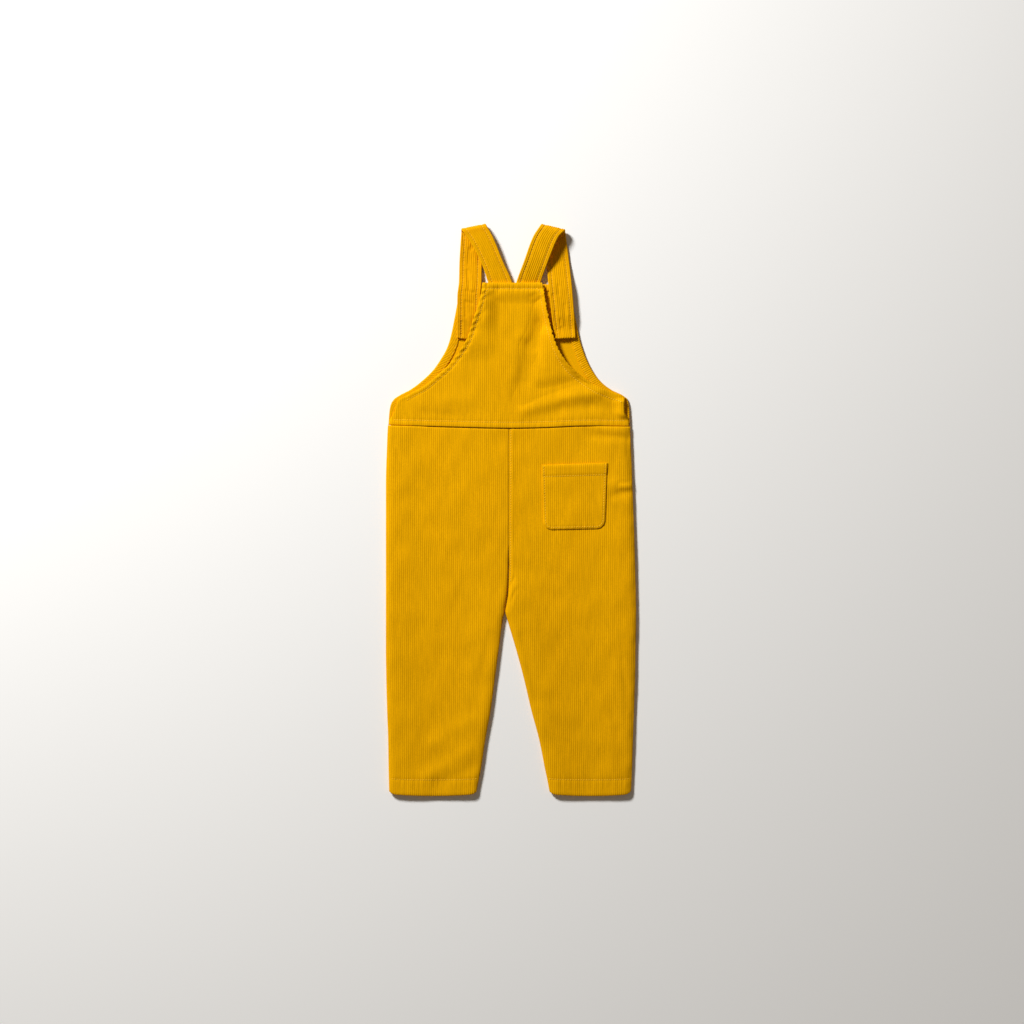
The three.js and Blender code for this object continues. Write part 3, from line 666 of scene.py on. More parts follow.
def inner_wall(x, short, side, left, right, face, wall, seam, left_turn, right_turn, up, width):
    """Places and heights of the plain face of such a panel, one wall away from its outer face."""
    turn = np.where(side > 0, left_turn, np.where(side < 0, right_turn, 0))
    edge = np.where(side > 0, left, right)
    across = np.abs(x - edge)
    shifted = edge + side * (turn * wall + across * (width - turn * wall) / width)
    depth = np.abs(face - seam)
    return np.where(side == 0, x, shifted), face - up * (wall + turn * (depth - wall) * short)


def close_panel(cloth, fine, x, places, edges, plain, wall, roll, to_y, pile):
    """Adds the plain face of a panel behind its ribbed face and closes the wall between them."""
    shifted, z = inner_wall(*places, *edges, plain, wall, **roll)
    coarse = cloth.add_points(shifted, to_y(places[0]), z, pile)
    close_shell(cloth, fine, coarse, x, shifted, roll["up"] > 0)


def waist_at(x):
    """Height of the waist seam, which bows a little."""
    return WAIST_HEIGHT + along(WAIST, "rise", x, "across")


def leg_inner(rows, height):
    """Inner edge of a leg: its inseam, and the centre seam above the crotch."""
    return np.where(height < CROTCH_HEIGHT, along(rows, "inseam", height),
                    along(CENTRE_SEAM, "across", height))


def crotch_turn(height):
    """How far a leg's inner edge rolls over: wholly on the inseam, not at the centre seam."""
    return 1 - smooth(CROTCH_HEIGHT, CROTCH_ROLL_TOP, height)


def back_leg_z(rows, x, height):
    """Plain outer face of the trousers' back, puffed beside its folded sides."""
    outer, inner = along(rows, "outer", height), leg_inner(rows, height)
    at_hem = 1 - smooth(HEM_DEPTH, HEM_DEPTH + LEG_HEM_SWELL_REACH, height)
    at_waist = smooth(WAIST_HEIGHT - LEG_WAIST_SWELL_REACH, WAIST_HEIGHT, height)
    flat = LEG_FLAT_Z + LEG_HEM_SWELL * at_hem + LEG_WAIST_SWELL * at_waist

    def puff(distance, turn):
        """Share of the swell beside a folded side."""
        return turn * bump(np.maximum(0, np.abs(distance) - SIDE_FOLD_WIDTH), SIDE_PUFF_REACH)

    swell = np.maximum(puff(x - outer, 1), puff(x - inner, crotch_turn(height)))
    return flat + (SIDE_FOLD_TOP - flat) * swell + fold_rise(LEG_FOLDS, x, height)


def leg_y(rows, x, height):
    """Height of a leg's point after the curves of its hem and waist."""
    outer, inner = along(rows, "outer", 0.0), float(leg_inner(rows, np.array(0.0)))
    middle, half = (outer + inner) / 2, abs(outer - inner) / 2
    edge = np.minimum(np.abs(x - along(rows, "outer", height)), np.abs(x - leg_inner(rows, height)))
    lift = HEM_CORNER_LIFT * (1 - roll_sine(edge, SIDE_FOLD_WIDTH))
    bow = HEM_BOW * ((x - middle) / half) ** 2
    near_waist = smooth(WAIST_HEIGHT - WAIST_CURVE_REACH, WAIST_HEIGHT, height)
    return (height + (1 - smooth(0, HEM_CURVE_REACH, height)) * (lift + bow)
            + near_waist * (waist_at(x) - WAIST_HEIGHT))


def leg_relief(rows, side, is_back, x, height):
    """Sewing lines and slack of a leg, over its plain outer face."""
    inner = np.abs(x - leg_inner(rows, height))
    relief = -gutter("leg_hem", height - HEM_DEPTH) + pucker("leg_hem", x, height - HEM_DEPTH + 4)
    above = smooth(*CENTRE_SEAM_STARTS, height)
    relief = relief - CENTRE_SEAM_SINK * above * np.exp(-inner / 0.7)
    if not is_back:
        return relief
    if side > 0:
        relief = relief - above * gutter("centre_stitch", inner - 2) + 0.25 * above * bump(inner - 4, 2)
    near_crotch = smooth(*CROTCH_HOLLOW_STARTS, height) * (1 - smooth(*CROTCH_HOLLOW_ENDS, height))
    reach = CROTCH_HOLLOW_REACH_LEFT if side < 0 else CROTCH_HOLLOW_REACH_RIGHT
    relief = relief - CROTCH_HOLLOW * near_crotch * np.exp(-inner / reach)
    relief = relief + slack(x, height) + fold_rise(LEG_CREASES, x, height)
    relief = relief - 0.15 * smooth(WAIST_HEIGHT - 2.2, WAIST_HEIGHT, height)
    if side > 0:
        outer = np.abs(x - along(rows, "outer", height))
        wander = 0.7 + 0.3 * np.sin(height * 0.09) + 0.2 * np.sin(height * 0.31)
        relief = relief - SIDE_HOLLOW * wander * np.exp(-outer / SIDE_HOLLOW_REACH)
    return relief


def settle(face, lowest):
    """Keeps a face above the layer it lies on, without a hard edge where it comes to rest."""
    over = face - lowest
    return lowest + (over + np.hypot(over, SETTLE_WIDTH)) / 2


def back_leg_face(rows, side, x, height):
    """Outer face of the trousers' back with its sewing lines and creases."""
    face = back_leg_z(rows, x, height) + leg_relief(rows, side, True, x, height)
    return settle(face, LOWEST_FACE)


def make_leg(name, rows, side, is_back, material):
    """One leg panel; side is -1 for the left leg in the photo and 1 for the right one."""
    up = 1 if is_back else -1
    stops = [0, 0.6, 1.6, HEM_DEPTH - 1.2, HEM_DEPTH, HEM_DEPTH + 1.2, CROTCH_HEIGHT,
             CROTCH_ROLL_TOP, WAIST_HEIGHT - 4, WAIST_HEIGHT - SEAM_GAP / 2]
    heights = spread(stops, LEG_STEP if is_back else PLAIN_LEG_STEP)
    outer_edge = along(rows, "outer", heights)
    opening = CROTCH_OPENING * bump(heights - CROTCH_OPENING_HEIGHT, CROTCH_OPENING_REACH)
    inner_edge = leg_inner(rows, heights) + side * (SEAM_GAP / 2 + (opening if is_back else 0))
    left, right = (outer_edge, inner_edge) if side < 0 else (inner_edge, outer_edge)
    edges = left[:, None], right[:, None]
    turn = crotch_turn(heights)[:, None]
    left_turn, right_turn = (1, turn) if side < 0 else (turn, 1)
    roll = {"seam": SIDE_SEAM_Z + up * SEAM_GAP / 2, "left_turn": left_turn,
            "right_turn": right_turn, "up": up, "width": SIDE_FOLD_WIDTH}
    tall = heights[:, None]
    x = ribbed_places(left, right, PER_WALE if is_back else PLAIN_PER_WALE)
    pile = wale_wave(x + wale_wander(x, tall))
    rim = CUT_EDGE * bump(tall, 0.7)
    if is_back:
        ribs = wale_rise(pile) * (1 - smooth(WAIST_HEIGHT - 1.6, WAIST_HEIGHT - 0.4, tall))
        face = back_leg_face(rows, side, x, tall) + ribs - rim
    else:
        relief = leg_relief(rows, side, is_back, x, tall)
        face = np.maximum(0.0, 0.2 * (1 - pile) - np.minimum(relief, 0) * 0.5) + rim
    cloth = Cloth()
    tips = HEM_SCALLOP * (1 - pile) * (1 - smooth(0, 1.6, tall))
    z = rolled_outer(x, *edges, face, **roll)
    fine = cloth.add_points(x, leg_y(rows, x, tall) + tips, z, pile)
    places = inner_places(left, right, SIDE_FOLD_WIDTH, ROLL_STEPS, LEG_INSIDE_STEPS)
    wall = WALL + (HEM_WALL - WALL) * (1 - smooth(HEM_DEPTH, HEM_DEPTH + 4, tall)) - rim
    inner_x = places[0]
    plain = np.zeros_like(inner_x)
    if is_back:
        plain = np.minimum(back_leg_z(rows, inner_x, tall),
                           back_leg_face(rows, side, inner_x, tall) + WALL - THINNEST)
    close_panel(cloth, fine, x, places, edges, plain, wall, roll,
                lambda place: leg_y(rows, place, tall), 0.5)
    piece = cloth.finish(name, material)
    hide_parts(name)
    return piece


def button_rise(distance):
    """Lift of the cloth over a button at a distance from its middle."""
    return BUTTON_RISE * (1 - smooth(BUTTON_FLAT_REACH, BUTTON_RISE_REACH, distance))


def front_bib_rise(x, height):
    """Lift of the front bib over both buttons."""
    left = np.hypot(x - BUTTON_LEFT_X, height - BUTTON_HEIGHT)
    right = np.hypot(x - BUTTON_RIGHT_X, height - BUTTON_HEIGHT)
    return np.maximum(button_rise(left), button_rise(right))


def back_bib_z(x, height, in_hem):
    """Plain outer face of the back bib, which lies over the front bib and the straps' ends."""
    flat = BACK_BIB_FLAT_Z + CHEST_SWELL * smooth(*CHEST_SWELLS, height)
    over_ends = smooth(*OVER_STRAP_ENDS, height)
    over_left = (1 - smooth(*LEFT_STRAP_SIDE, x)) * smooth(*OVER_LEFT_STRAP, height)
    lifted = np.maximum(over_ends, over_left)
    lift = 2 * (HEM_WALL + LAYER_GAP + STRAP_HALF) - flat
    button = button_rise(np.abs(height - BUTTON_HEIGHT)) * over_left
    layers = np.where(in_hem, 2 * HEM_WALL, WALL + HEM_WALL)
    lowest = layers + 2 * LAYER_GAP + front_bib_rise(x, height)
    return np.maximum(lowest, flat + lift * lifted + button
                      + fold_rise(BIB_FOLDS, x, height) * (1 - lifted))


def bib_y(x, height):
    """Height of a bib's point after the curve of its waist."""
    near_waist = 1 - smooth(WAIST_HEIGHT, WAIST_HEIGHT + WAIST_CURVE_REACH_UP, height)
    return height + near_waist * (waist_at(x) - WAIST_HEIGHT)


def stitch_inset(column, height):
    """Distance of the armhole stitches from the edge; the right armhole's move inwards at its foot."""
    wider = ARMHOLE_FOOT_WIDER * (1 - smooth(*ARMHOLE_STITCH_NEARS, height))
    return ARMHOLE_STITCH + (wider if column == "right" else 0 * wider)


def edge_line(rows, column, inset=0.0, start=WAIST_HEIGHT):
    """Points along one side edge of a bib, moved inwards by an inset at right angles to the edge."""
    heights = spread([start, rows["height"][-1]], 1.5)
    inset = np.broadcast_to(inset(heights) if callable(inset) else inset, heights.shape)[:, None]
    line = np.stack([along(rows, column, heights), heights], axis=1)
    return line + inset * beside(line, 1 if column == "left" else -1)


def nearest_on(line, x, height):
    """Distance of each point to a line, and how far along the line its nearest place is."""
    x, height = np.broadcast_arrays(x, height)
    best = np.full(x.shape, 1e9)
    run = np.zeros(x.shape)
    travelled = 0.0
    for start, end in zip(line[:-1], line[1:]):
        step = end - start
        length = float(np.hypot(*step))
        t = np.clip(((x - start[0]) * step[0] + (height - start[1]) * step[1]) / length**2, 0, 1)
        distance = np.hypot(x - (start[0] + t * step[0]), height - (start[1] + t * step[1]))
        closer = distance < best
        best = np.where(closer, distance, best)
        run = np.where(closer, travelled + t * length, run)
        travelled += length
    return best, run


def armhole_relief(column, distance, run, height):
    """Folded hem, stitch gutter and roped puckers beside an armhole of the back bib."""
    past = distance - stitch_inset(column, height)
    hem = 0.25 * (1 - smooth(-1.5, 1, past)) - gutter("armhole", past)
    turn = np.pi * (run - 1.1 * distance) / ROPE_PITCH + 0.5 * np.sin(run * 0.13)
    rope = 0.5 - np.cos(turn) ** 2
    tight = smooth(*ARMHOLE_ROPED, height) * (0.75 + 0.25 * np.sin(run * 0.17))
    roped = tight * ARMHOLE_PUCKERS[column] * rope * bump(distance - 2.4, 4.2)
    return smooth(*ARMHOLE_SEWN, height) * hem + roped


def back_bib_relief(x, height):
    """Hem bands, stitch gutters, puckers and slack of the back bib over its plain face."""
    relief = slack(x, height) * (1 - smooth(*SLACK_ENDS, height)) * 0.8
    relief = relief + fold_rise(BIB_CREASES, x, height)
    from_right = np.maximum(0, along(BACK_BIB, "right", height) - x)
    curl = (ARMHOLE_CURL * smooth(*ARMHOLE_CURLS, height)
            - ARMHOLE_CURL_END * smooth(*ARMHOLE_CURL_ENDS, height))
    relief = relief + curl * bump(from_right, ARMHOLE_CURL_WIDTH)
    nearest = np.full(np.broadcast(x, height).shape, 1e9)
    for column in ARMHOLE_PUCKERS:
        distance, run = nearest_on(edge_line(BACK_BIB, column), x, height)
        nearest = np.minimum(nearest, distance)
        relief = relief + armhole_relief(column, distance, run, height)
    from_top = BIB_TOP - height
    relief = relief - gutter("bib_top", from_top - BIB_HEM) + 0.15 * (1 - smooth(5, 7, from_top))
    relief = relief + pucker("bib_top", x, from_top - BIB_HEM)
    from_waist = height - WAIST_HEIGHT
    relief = relief - gutter("bib_waist", from_waist - WAIST_STITCH)
    relief = relief + 0.3 * (1 - smooth(5, 8, from_waist))
    relief = relief + pucker("bib_waist", x, from_waist - WAIST_STITCH)
    rim = bump(nearest, 0.9) * smooth(*ARMHOLE_RIM, height) + bump(from_top, 0.7)
    tucked = smooth(*TUCK_STARTS, height) * (1 - smooth(*TUCK_ENDS, height))
    tuck = WAIST_CORNER_TUCK * tucked * smooth(*TUCK_EDGE, from_right)
    tuck = tuck * (1 - smooth(*TUCK_INNER_END, from_right))
    return relief - BIB_RIM * np.clip(rim, 0, 1) - gutter("waist_edge", from_waist) + tuck


def back_bib_face(x, height):
    """Outer face of the back bib with its sewing lines and creases."""
    left, right = along(BACK_BIB, "left", height), along(BACK_BIB, "right", height)
    in_hem = (x - left < BIB_FOLD_WIDTH) | (right - x < BIB_FOLD_WIDTH) | (height > BIB_TOP - BIB_HEM)
    face = back_bib_z(x, height, in_hem) + back_bib_relief(x, height)
    return settle(face, front_bib_rise(x, height) + LOWEST_FACE)


def bib_turn(height, top):
    """How far a bib's sides roll over: wholly at the waist, not at all at the armhole."""
    return 1 - smooth(WAIST_HEIGHT + 2, top, height)


def make_back_bib(material):
    """The back bib, with the scalloped and waved edges of its armholes."""
    waist_stitch, top_stitch = WAIST_HEIGHT + WAIST_STITCH, BIB_TOP - BIB_HEM
    stops = [WAIST_HEIGHT + SEAM_GAP / 2, WAIST_HEIGHT + 1.4, waist_stitch - 1.3, waist_stitch,
             waist_stitch + 1.3, ARMHOLE_CORNER, top_stitch - 1.3, top_stitch, top_stitch + 1.3,
             BIB_TOP - 1.4, BIB_TOP - 0.6, BIB_TOP]
    heights = spread(stops, BACK_BIB_STEP)
    armhole = spread([ARMHOLE_CORNER, 500, top_stitch], ARMHOLE_STEP)
    heights = np.unique(np.round(np.concatenate([heights, armhole]), 3))
    heights = heights[np.concatenate([[True], np.diff(heights) > 0.3])]
    left, right = along(BACK_BIB, "left", heights), along(BACK_BIB, "right", heights)
    steady = smooth(ARMHOLE_CORNER - 4, ARMHOLE_CORNER + 4, heights)
    left = left + steady * ARMHOLE_SCALLOP * (1 - wale_wave(left)) * 0.5
    right = right - steady * ARMHOLE_SCALLOP * (1 - wale_wave(right))
    wave = np.sin(2 * np.pi * heights / ARMHOLE_WAVE_PITCH + np.sin(heights * 0.4))
    right = right - steady * ARMHOLE_WAVE * (1 + wave)
    edges = left[:, None], right[:, None]
    turn = bib_turn(heights, BACK_BIB_ROLL_TOP)[:, None]
    roll = {"seam": SIDE_SEAM_Z + SEAM_GAP / 2, "left_turn": turn, "right_turn": turn, "up": 1,
            "width": BIB_FOLD_WIDTH}
    tall = heights[:, None]
    x = ribbed_places(left, right, PER_WALE)
    pile = wale_wave(x + wale_wander(x, tall))
    beads = 1 + ARMHOLE_BEADS * bump(right[:, None] - x, 1.6) * smooth(*ARMHOLE_BEADED, tall)
    face = back_bib_face(x, tall) + beads * wale_rise(pile) * smooth(0.1, 1.3, tall - WAIST_HEIGHT)
    cloth = Cloth()
    fine = cloth.add_points(x, bib_y(x, tall), rolled_outer(x, *edges, face, **roll), pile)
    places = inner_places(left, right, BIB_FOLD_WIDTH, ROLL_STEPS, BIB_INSIDE_STEPS)
    inner_x, _, inward = places
    in_band = np.maximum(1 - smooth(BIB_HEM, BIB_HEM + 2, BIB_TOP - tall), inward != 0)
    wall = WALL + (HEM_WALL - WALL) * in_band * smooth(WAIST_HEIGHT, WAIST_HEIGHT + 30, tall)
    plain = np.minimum(back_bib_z(inner_x, tall, in_band > 0),
                       back_bib_face(inner_x, tall) + WALL - THINNEST)
    close_panel(cloth, fine, x, places, edges, plain, wall, roll,
                lambda place: bib_y(place, tall), 0.5)
    piece = cloth.finish("back_bib", material)
    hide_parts("back_bib")
    return piece


def front_bib_inside(x, height):
    """Height of the inside face of the front bib, which lies upwards."""
    left, right = along(FRONT_BIB, "left", height), along(FRONT_BIB, "right", height)
    turn = bib_turn(height, ARMHOLE_CORNER)
    short = 2 - roll_sine(x - left, BIB_FOLD_WIDTH) - roll_sine(right - x, BIB_FOLD_WIDTH)
    return front_bib_rise(x, height) + WALL + turn * (SIDE_SEAM_Z - SEAM_GAP / 2 - WALL) * short


def make_front_bib():
    """The front bib without its turned hems; its ribbed face lies downwards."""
    top = FRONT_BIB["height"][-1]
    heights = spread([WAIST_HEIGHT + SEAM_GAP / 2, ARMHOLE_CORNER, 450, top - 0.8, top], FRONT_BIB_STEP)
    left, right = along(FRONT_BIB, "left", heights), along(FRONT_BIB, "right", heights)
    edges = left[:, None], right[:, None]
    turn = bib_turn(heights, ARMHOLE_CORNER)[:, None]
    roll = {"seam": SIDE_SEAM_Z - SEAM_GAP / 2, "left_turn": turn, "right_turn": turn, "up": -1,
            "width": BIB_FOLD_WIDTH}
    tall = heights[:, None]
    x = ribbed_places(left, right, PLAIN_PER_WALE)
    pile = wale_wave(x)
    face = front_bib_rise(x, tall) + 0.2 * (1 - pile)
    cloth = Cloth()
    fine = cloth.add_points(x, bib_y(x, tall), rolled_outer(x, *edges, face, **roll), pile)
    places = inner_places(left, right, BIB_FOLD_WIDTH, ROLL_STEPS, BIB_INSIDE_STEPS)
    close_panel(cloth, fine, x, places, edges, front_bib_rise(places[0], tall), WALL, roll,
                lambda place: bib_y(place, tall), 1.0)
    return cloth


def mirrored_ribs(x, _, edge_x):
    """Ribs of the cloth beyond an edge, folded back over it."""
    return wale_wave(2 * edge_x - x)


def slanting_ribs(x, height, _):
    """Ribs of a facing cut on the slant, which rise to the right."""
    return wale_wave(0.87 * height - 0.5 * x)


def add_turned_hem(cloth, line, width, side, ribs):
    """A turned hem on the inside of the front bib, along an edge line and to its right for side 1."""
    inward = beside(line, side)
    tenths = [0.25, 0.8, 1.6, 2.4, 3.2, 4, 4.8, 5.6, 6.4, 7.2, 8, 8.8, 9.4, 9.8]
    across = np.array(tenths) * width / 10
    x = line[:, :1] + inward[:, :1] * across[None, :]
    tall = line[:, 1:] + inward[:, 1:] * across[None, :]
    pile = ribs(x, tall, line[:, :1])
    crown = np.sqrt(np.clip(np.minimum(across, across[-1] + 0.1 - across) / 1.2, 0, 1))
    sunk = gutter("turned_hem", across - width * 0.8)
    floor = front_bib_inside(x, np.minimum(tall, FRONT_BIB["height"][-1])) + 0.03
    pulls = 0.16 * np.sin(np.arange(len(line)) * 0.55)[:, None]
    pulls = pulls * bump(across - width * 0.8, 3)[None, :]
    ribs_rise = TURNED_HEM_RIBS * wale_rise(pile) * crown[None, :]
    upper_z = floor + (TURNED_HEM_CROWN * crown - sunk)[None, :] + ribs_rise + pulls
    upper = cloth.add_points(x, bib_y(x, tall), np.maximum(upper_z, floor + 0.05), pile)
    lower = cloth.add_points(x, bib_y(x, tall), floor, 0.3)
    facing = side > 0
    cloth.add_grid(upper, facing)
    cloth.add_grid(lower, not facing)
    rims = [(upper[:, 0], lower[:, 0], facing), (upper[:, -1], lower[:, -1], not facing),
            (upper[0], lower[0], not facing), (upper[-1], lower[-1], facing)]
    for one, two, forward in rims:
        cloth.add_strip(one, two) if forward else cloth.add_strip(two, one)


def add_turned_hems(cloth):
    """The turned hems of both armholes and of the top of the front bib."""
    for column, side, ribs in (("left", 1, mirrored_ribs), ("right", -1, slanting_ribs)):
        line = edge_line(FRONT_BIB, column, 0.0, WAIST_HEIGHT + 3)
        fine = np.linspace(0, len(line) - 1, (len(line) - 1) * 3 + 1)
        places = np.arange(len(line))
        line = np.stack([np.interp(fine, places, line[:, k]) for k in (0, 1)], axis=1)
        add_turned_hem(cloth, line, FRONT_BAND, side, ribs)
    top = FRONT_BIB["height"][-1]
    left, right = along(FRONT_BIB, "left", top) + 9, along(FRONT_BIB, "right", top) - 9
    add_turned_hem(cloth, straight(left, top, right, top, 0.5), TOP_BAND, 1, mirrored_ribs)


def lower_run_z(height):
    """Middle of a strap's lower run, which lies on the floor and then on the front bib."""
    on_bib = 1 - smooth(*STRAP_LEAVES_BIB, height)
    rest = STRAP_FLOOR_Z + (STRAP_REST_Z - STRAP_FLOOR_Z) * on_bib
    return rest + button_rise(np.abs(height - BUTTON_HEIGHT))


def upper_run_z(height, fold_top, fold_z):
    """Middle of a strap's upper run, from the bib's top hem up to the fold."""
    share = np.clip((height - BIB_TOP - 1.5) / (fold_top - BIB_TOP - 1.5), 0, 1)
    return STRAP_REST_Z + (fold_z - STRAP_REST_Z) * (1 - (1 - share) ** 2)


def strap_rows(strap, run_steps, fold_steps, free_steps):
    """Left and right edge of each row of a strap, at the middle of its cloth, from the bib to its end."""
    radius = strap["fold_radius"]
    crease = [strap["upper_left"]["height"][-1], strap["upper_right"]["height"][-1]]
    start = strap["upper_left"]["height"][0]
    end = [strap["lower_left"]["height"][0], strap["lower_left"]["height"][0] + strap["end_slope"]]
    centre = STRAP_FLOOR_Z + radius
    rows = []

    def add(part, heights, levels):
        """Adds one row, with its two heights on the strap and its two levels over the floor."""
        edges = [
            np.array([along(strap[f"{part}_{side}"], "x", height), height - LENGTH / 2, level])
            for side, height, level in zip(("left", "right"), heights, levels)]
        rows.append(edges)

    for k in range(run_steps):
        heights = [start + (top - radius - start) * k / run_steps for top in crease]
        levels = [upper_run_z(h, top - radius, centre + radius) for h, top in zip(heights, crease)]
        add("upper", heights, levels)
    for k in range(fold_steps + 1):
        angle = np.pi * (0.5 - k / fold_steps)
        level = centre + radius * np.sin(angle)
        back = radius * (1 - np.cos(angle))
        add("upper" if angle > 0 else "lower", [top - back for top in crease], [level, level])
    for k in range(1, free_steps + 1):
        heights = [top - radius + (low - top + radius) * k / free_steps for top, low in zip(crease, end)]
        level = lower_run_z(sum(heights) / 2)
        add("lower", heights, [level, level])
    return np.array(rows)


def strap_sections(strap):
    """Edges, normals and run of a strap's rows."""
    rows = strap_rows(strap, **STRAP_STEPS)
    left, right = rows[:, 0], rows[:, 1]
    across = right - left
    forward = np.gradient(left, axis=0) + np.gradient(right, axis=0)
    normal = np.cross(across, forward)
    normal /= np.linalg.norm(normal, axis=1)[:, None]
    middle = (left + right) / 2
    run = np.concatenate([[0], np.cumsum(np.linalg.norm(np.diff(middle, axis=0), axis=1))])
    return left, right, normal, run


def strap_half(share, width, run):
    """Half thickness of a strap at a share of its width, with its edges and stitch gutters."""
    edge = np.minimum(share, 1 - share) * width
    half = STRAP_EDGE_HALF + (STRAP_HALF - STRAP_EDGE_HALF) * roll_sine(edge, STRAP_EDGE_WIDTH)
    return half - gutter("strap", edge - STRAP_STITCH) + pucker("strap", run, edge - STRAP_STITCH)


def strap_crease(creases, middle, run):
    """Rise of the creases in a strap's lower run, where the cloth has been worn at the button."""
    x, height = middle[..., 0], middle[..., 1] + LENGTH / 2
    depth = STRAP_CREASE_DEPTH * fold_rise(creases, x, height) * lower_share(run)
    return STRAP_CREASE_LIMIT * np.tanh(depth / STRAP_CREASE_LIMIT)


def lower_share(run):
    """0 on the upper run of a strap and 1 past its fold."""
    return smooth(*STRAP_TURNED_SHARE, run / run[-1]).reshape(-1, 1)


def end_curl(strap, run):
    """Lift of a strap's free end."""
    return strap["end_curl"] * smooth(run[-1] - STRAP_CURL_LENGTH, run[-1], run) ** 2


def make_strap(name, strap, creases, material):
    """A doubled strap, sewn under the back bib's top, folded over and laid inside the front bib."""
    left, right, normal, run = strap_sections(strap)
    width = float(np.linalg.norm(right[0] - left[0]))
    pitch = settings().wale_pitch / MM
    count = round(width / pitch)
    share = np.linspace(0, 1, count * PER_WALE + 1)[None, :]
    pile = wale_wave(share * count * pitch + pitch / 2)
    ribs = STRAP_RIBS * wale_rise(pile) * roll_sine(np.minimum(share, 1 - share) * width, 1.5)
    half = strap_half(share, width, run[:, None]) + ribs
    middle = left[:, None, :] + (right - left)[:, None, :] * share[:, :, None]
    crease = strap_crease(creases, middle, run)
    middle[..., 2] += end_curl(strap, run)[:, None]
    tips = STRAP_SCALLOP * (0.1 - pile) * smooth(run[-1] - 2, run[-1], run)[:, None]
    middle[..., 1] += tips
    # Painted shade: past the fold the pile value is lowered, so the lower run takes the darker groove
    # colour where the upper run shades it
    painted_shade_pile = pile * (1 - strap["lower_run_painted_shade"] * lower_share(run))
    upper = middle + normal[:, None, :] * half[:, :, None]
    lower = middle - normal[:, None, :] * (half + crease * STRAP_UNDERSIDE_CREASE)[:, :, None]
    cloth = Cloth()
    top = cloth.add_points(upper[..., 0], upper[..., 1] + LENGTH / 2, upper[..., 2], painted_shade_pile)
    low = cloth.add_points(lower[..., 0], lower[..., 1] + LENGTH / 2, np.maximum(lower[..., 2], 0), painted_shade_pile)
    cloth.add_grid(top, True)
    cloth.add_grid(low, False)
    cloth.add_strip(top[:, 0], low[:, 0])
    cloth.add_strip(low[:, -1], top[:, -1])
    cloth.add_strip(low[0], top[0])
    cloth.add_strip(top[-1], low[-1])
    piece = cloth.finish(name, material)
    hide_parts(name)
    return piece


def pocket_edges(level):
    """Left and right edge of the pocket at a level over its foot, and the slope of its rows."""
    t = level / POCKET_TALL
    below = np.clip(POCKET_CORNER - level, 0, None)
    inset = POCKET_CORNER - np.sqrt(np.clip(POCKET_CORNER**2 - below**2, 0, None))
    left = POCKET_FOOT["left"] + (POCKET_TOP["left"] - POCKET_FOOT["left"]) * t + inset
    right = POCKET_FOOT["right"] + (POCKET_TOP["right"] - POCKET_FOOT["right"]) * t - inset
    slope = POCKET_FOOT["slope"] + (POCKET_TOP["slope"] - POCKET_FOOT["slope"]) * t
    return left, right, slope


def pocket_point(x, level):
    """Height on the garment of a point at a level over the pocket's foot."""
    share = (x - POCKET_FOOT["left"]) / (POCKET_FOOT["right"] - POCKET_FOOT["left"])
    return POCKET_FOOT["height"] + level + pocket_edges(level)[2] * share


def pocket_ground(x, height):
    """Height of the leg's face under the pocket."""
    return back_leg_z(LEG_RIGHT, x, height) + slack(x, height)


def pocket_corner_levels():
    """Levels of the rows that go round the pocket's lower corners."""
    return POCKET_CORNER * (1 - np.cos(np.linspace(0, np.pi / 2, CORNER_STEPS + 1)))[:-1]


def pocket_outline(inset=0.0):
    """The pocket's sewn edge from its top left corner round its foot to its top right corner."""
    levels = np.concatenate([pocket_corner_levels(), np.linspace(POCKET_CORNER, POCKET_TALL, 24)])
    left, right, _ = pocket_edges(levels)
    line = np.concatenate([np.stack([left, levels], 1)[::-1], np.stack([right, levels], 1)])
    return line + inset * beside(line, -1)


def pocket_rise(x, level):
    """Height of the pocket's face over the leg that it lies on."""
    edge, run = nearest_on(pocket_outline(), x, level)
    from_top = POCKET_TALL - level
    in_hem = 1 - smooth(POCKET_HEM - 1, POCKET_HEM + 1, from_top)
    rise = LAYER_GAP + POCKET_WALL + POCKET_HEM_RISE * in_hem
    rise = rise - gutter("pocket_hem", from_top - POCKET_HEM)
    rise = rise - gutter("pocket_edge", edge - POCKET_STITCH)
    rise = rise + pucker("pocket_edge", run, edge - POCKET_STITCH)
    rise = rise + POCKET_MOUTH_LIFT * bump(from_top, 9) * np.sin(np.pi * (x - 34) / 72)
    return rise - 0.8 * np.clip(bump(edge, 0.8) + bump(from_top, 0.7), 0, 1)


def make_pocket(material):
    """The patch pocket, which follows the folds of the leg under it."""
    hem = POCKET_TALL - POCKET_HEM
    rest = spread([POCKET_CORNER, hem - 1.2, hem, hem + 1.2, POCKET_TALL - 1.4, POCKET_TALL - 0.6,
                   POCKET_TALL], POCKET_STEP)
    levels = np.concatenate([pocket_corner_levels(), rest])
    left, right, _ = pocket_edges(levels)
    level = levels[:, None]
    x = ribbed_places(left, right, PER_WALE)
    height = pocket_point(x, level)
    pile = wale_wave(x + 0.6)
    cloth = Cloth()
    face = pocket_ground(x, height) + pocket_rise(x, level) + wale_rise(pile)
    fine = cloth.add_points(x, height, face, pile)
    share = np.linspace(0, 1, POCKET_INSIDE_STEPS + 1)[None, :]
    inner_x = left[:, None] + (right - left)[:, None] * share
    inner_height = pocket_point(inner_x, level)
    coarse = cloth.add_points(inner_x, inner_height, pocket_ground(inner_x, inner_height) + 0.1, 0.3)
    close_shell(cloth, fine, coarse, x, inner_x, True)
    piece = cloth.finish("back_pocket", material)
    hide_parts("back_pocket")
    return piece


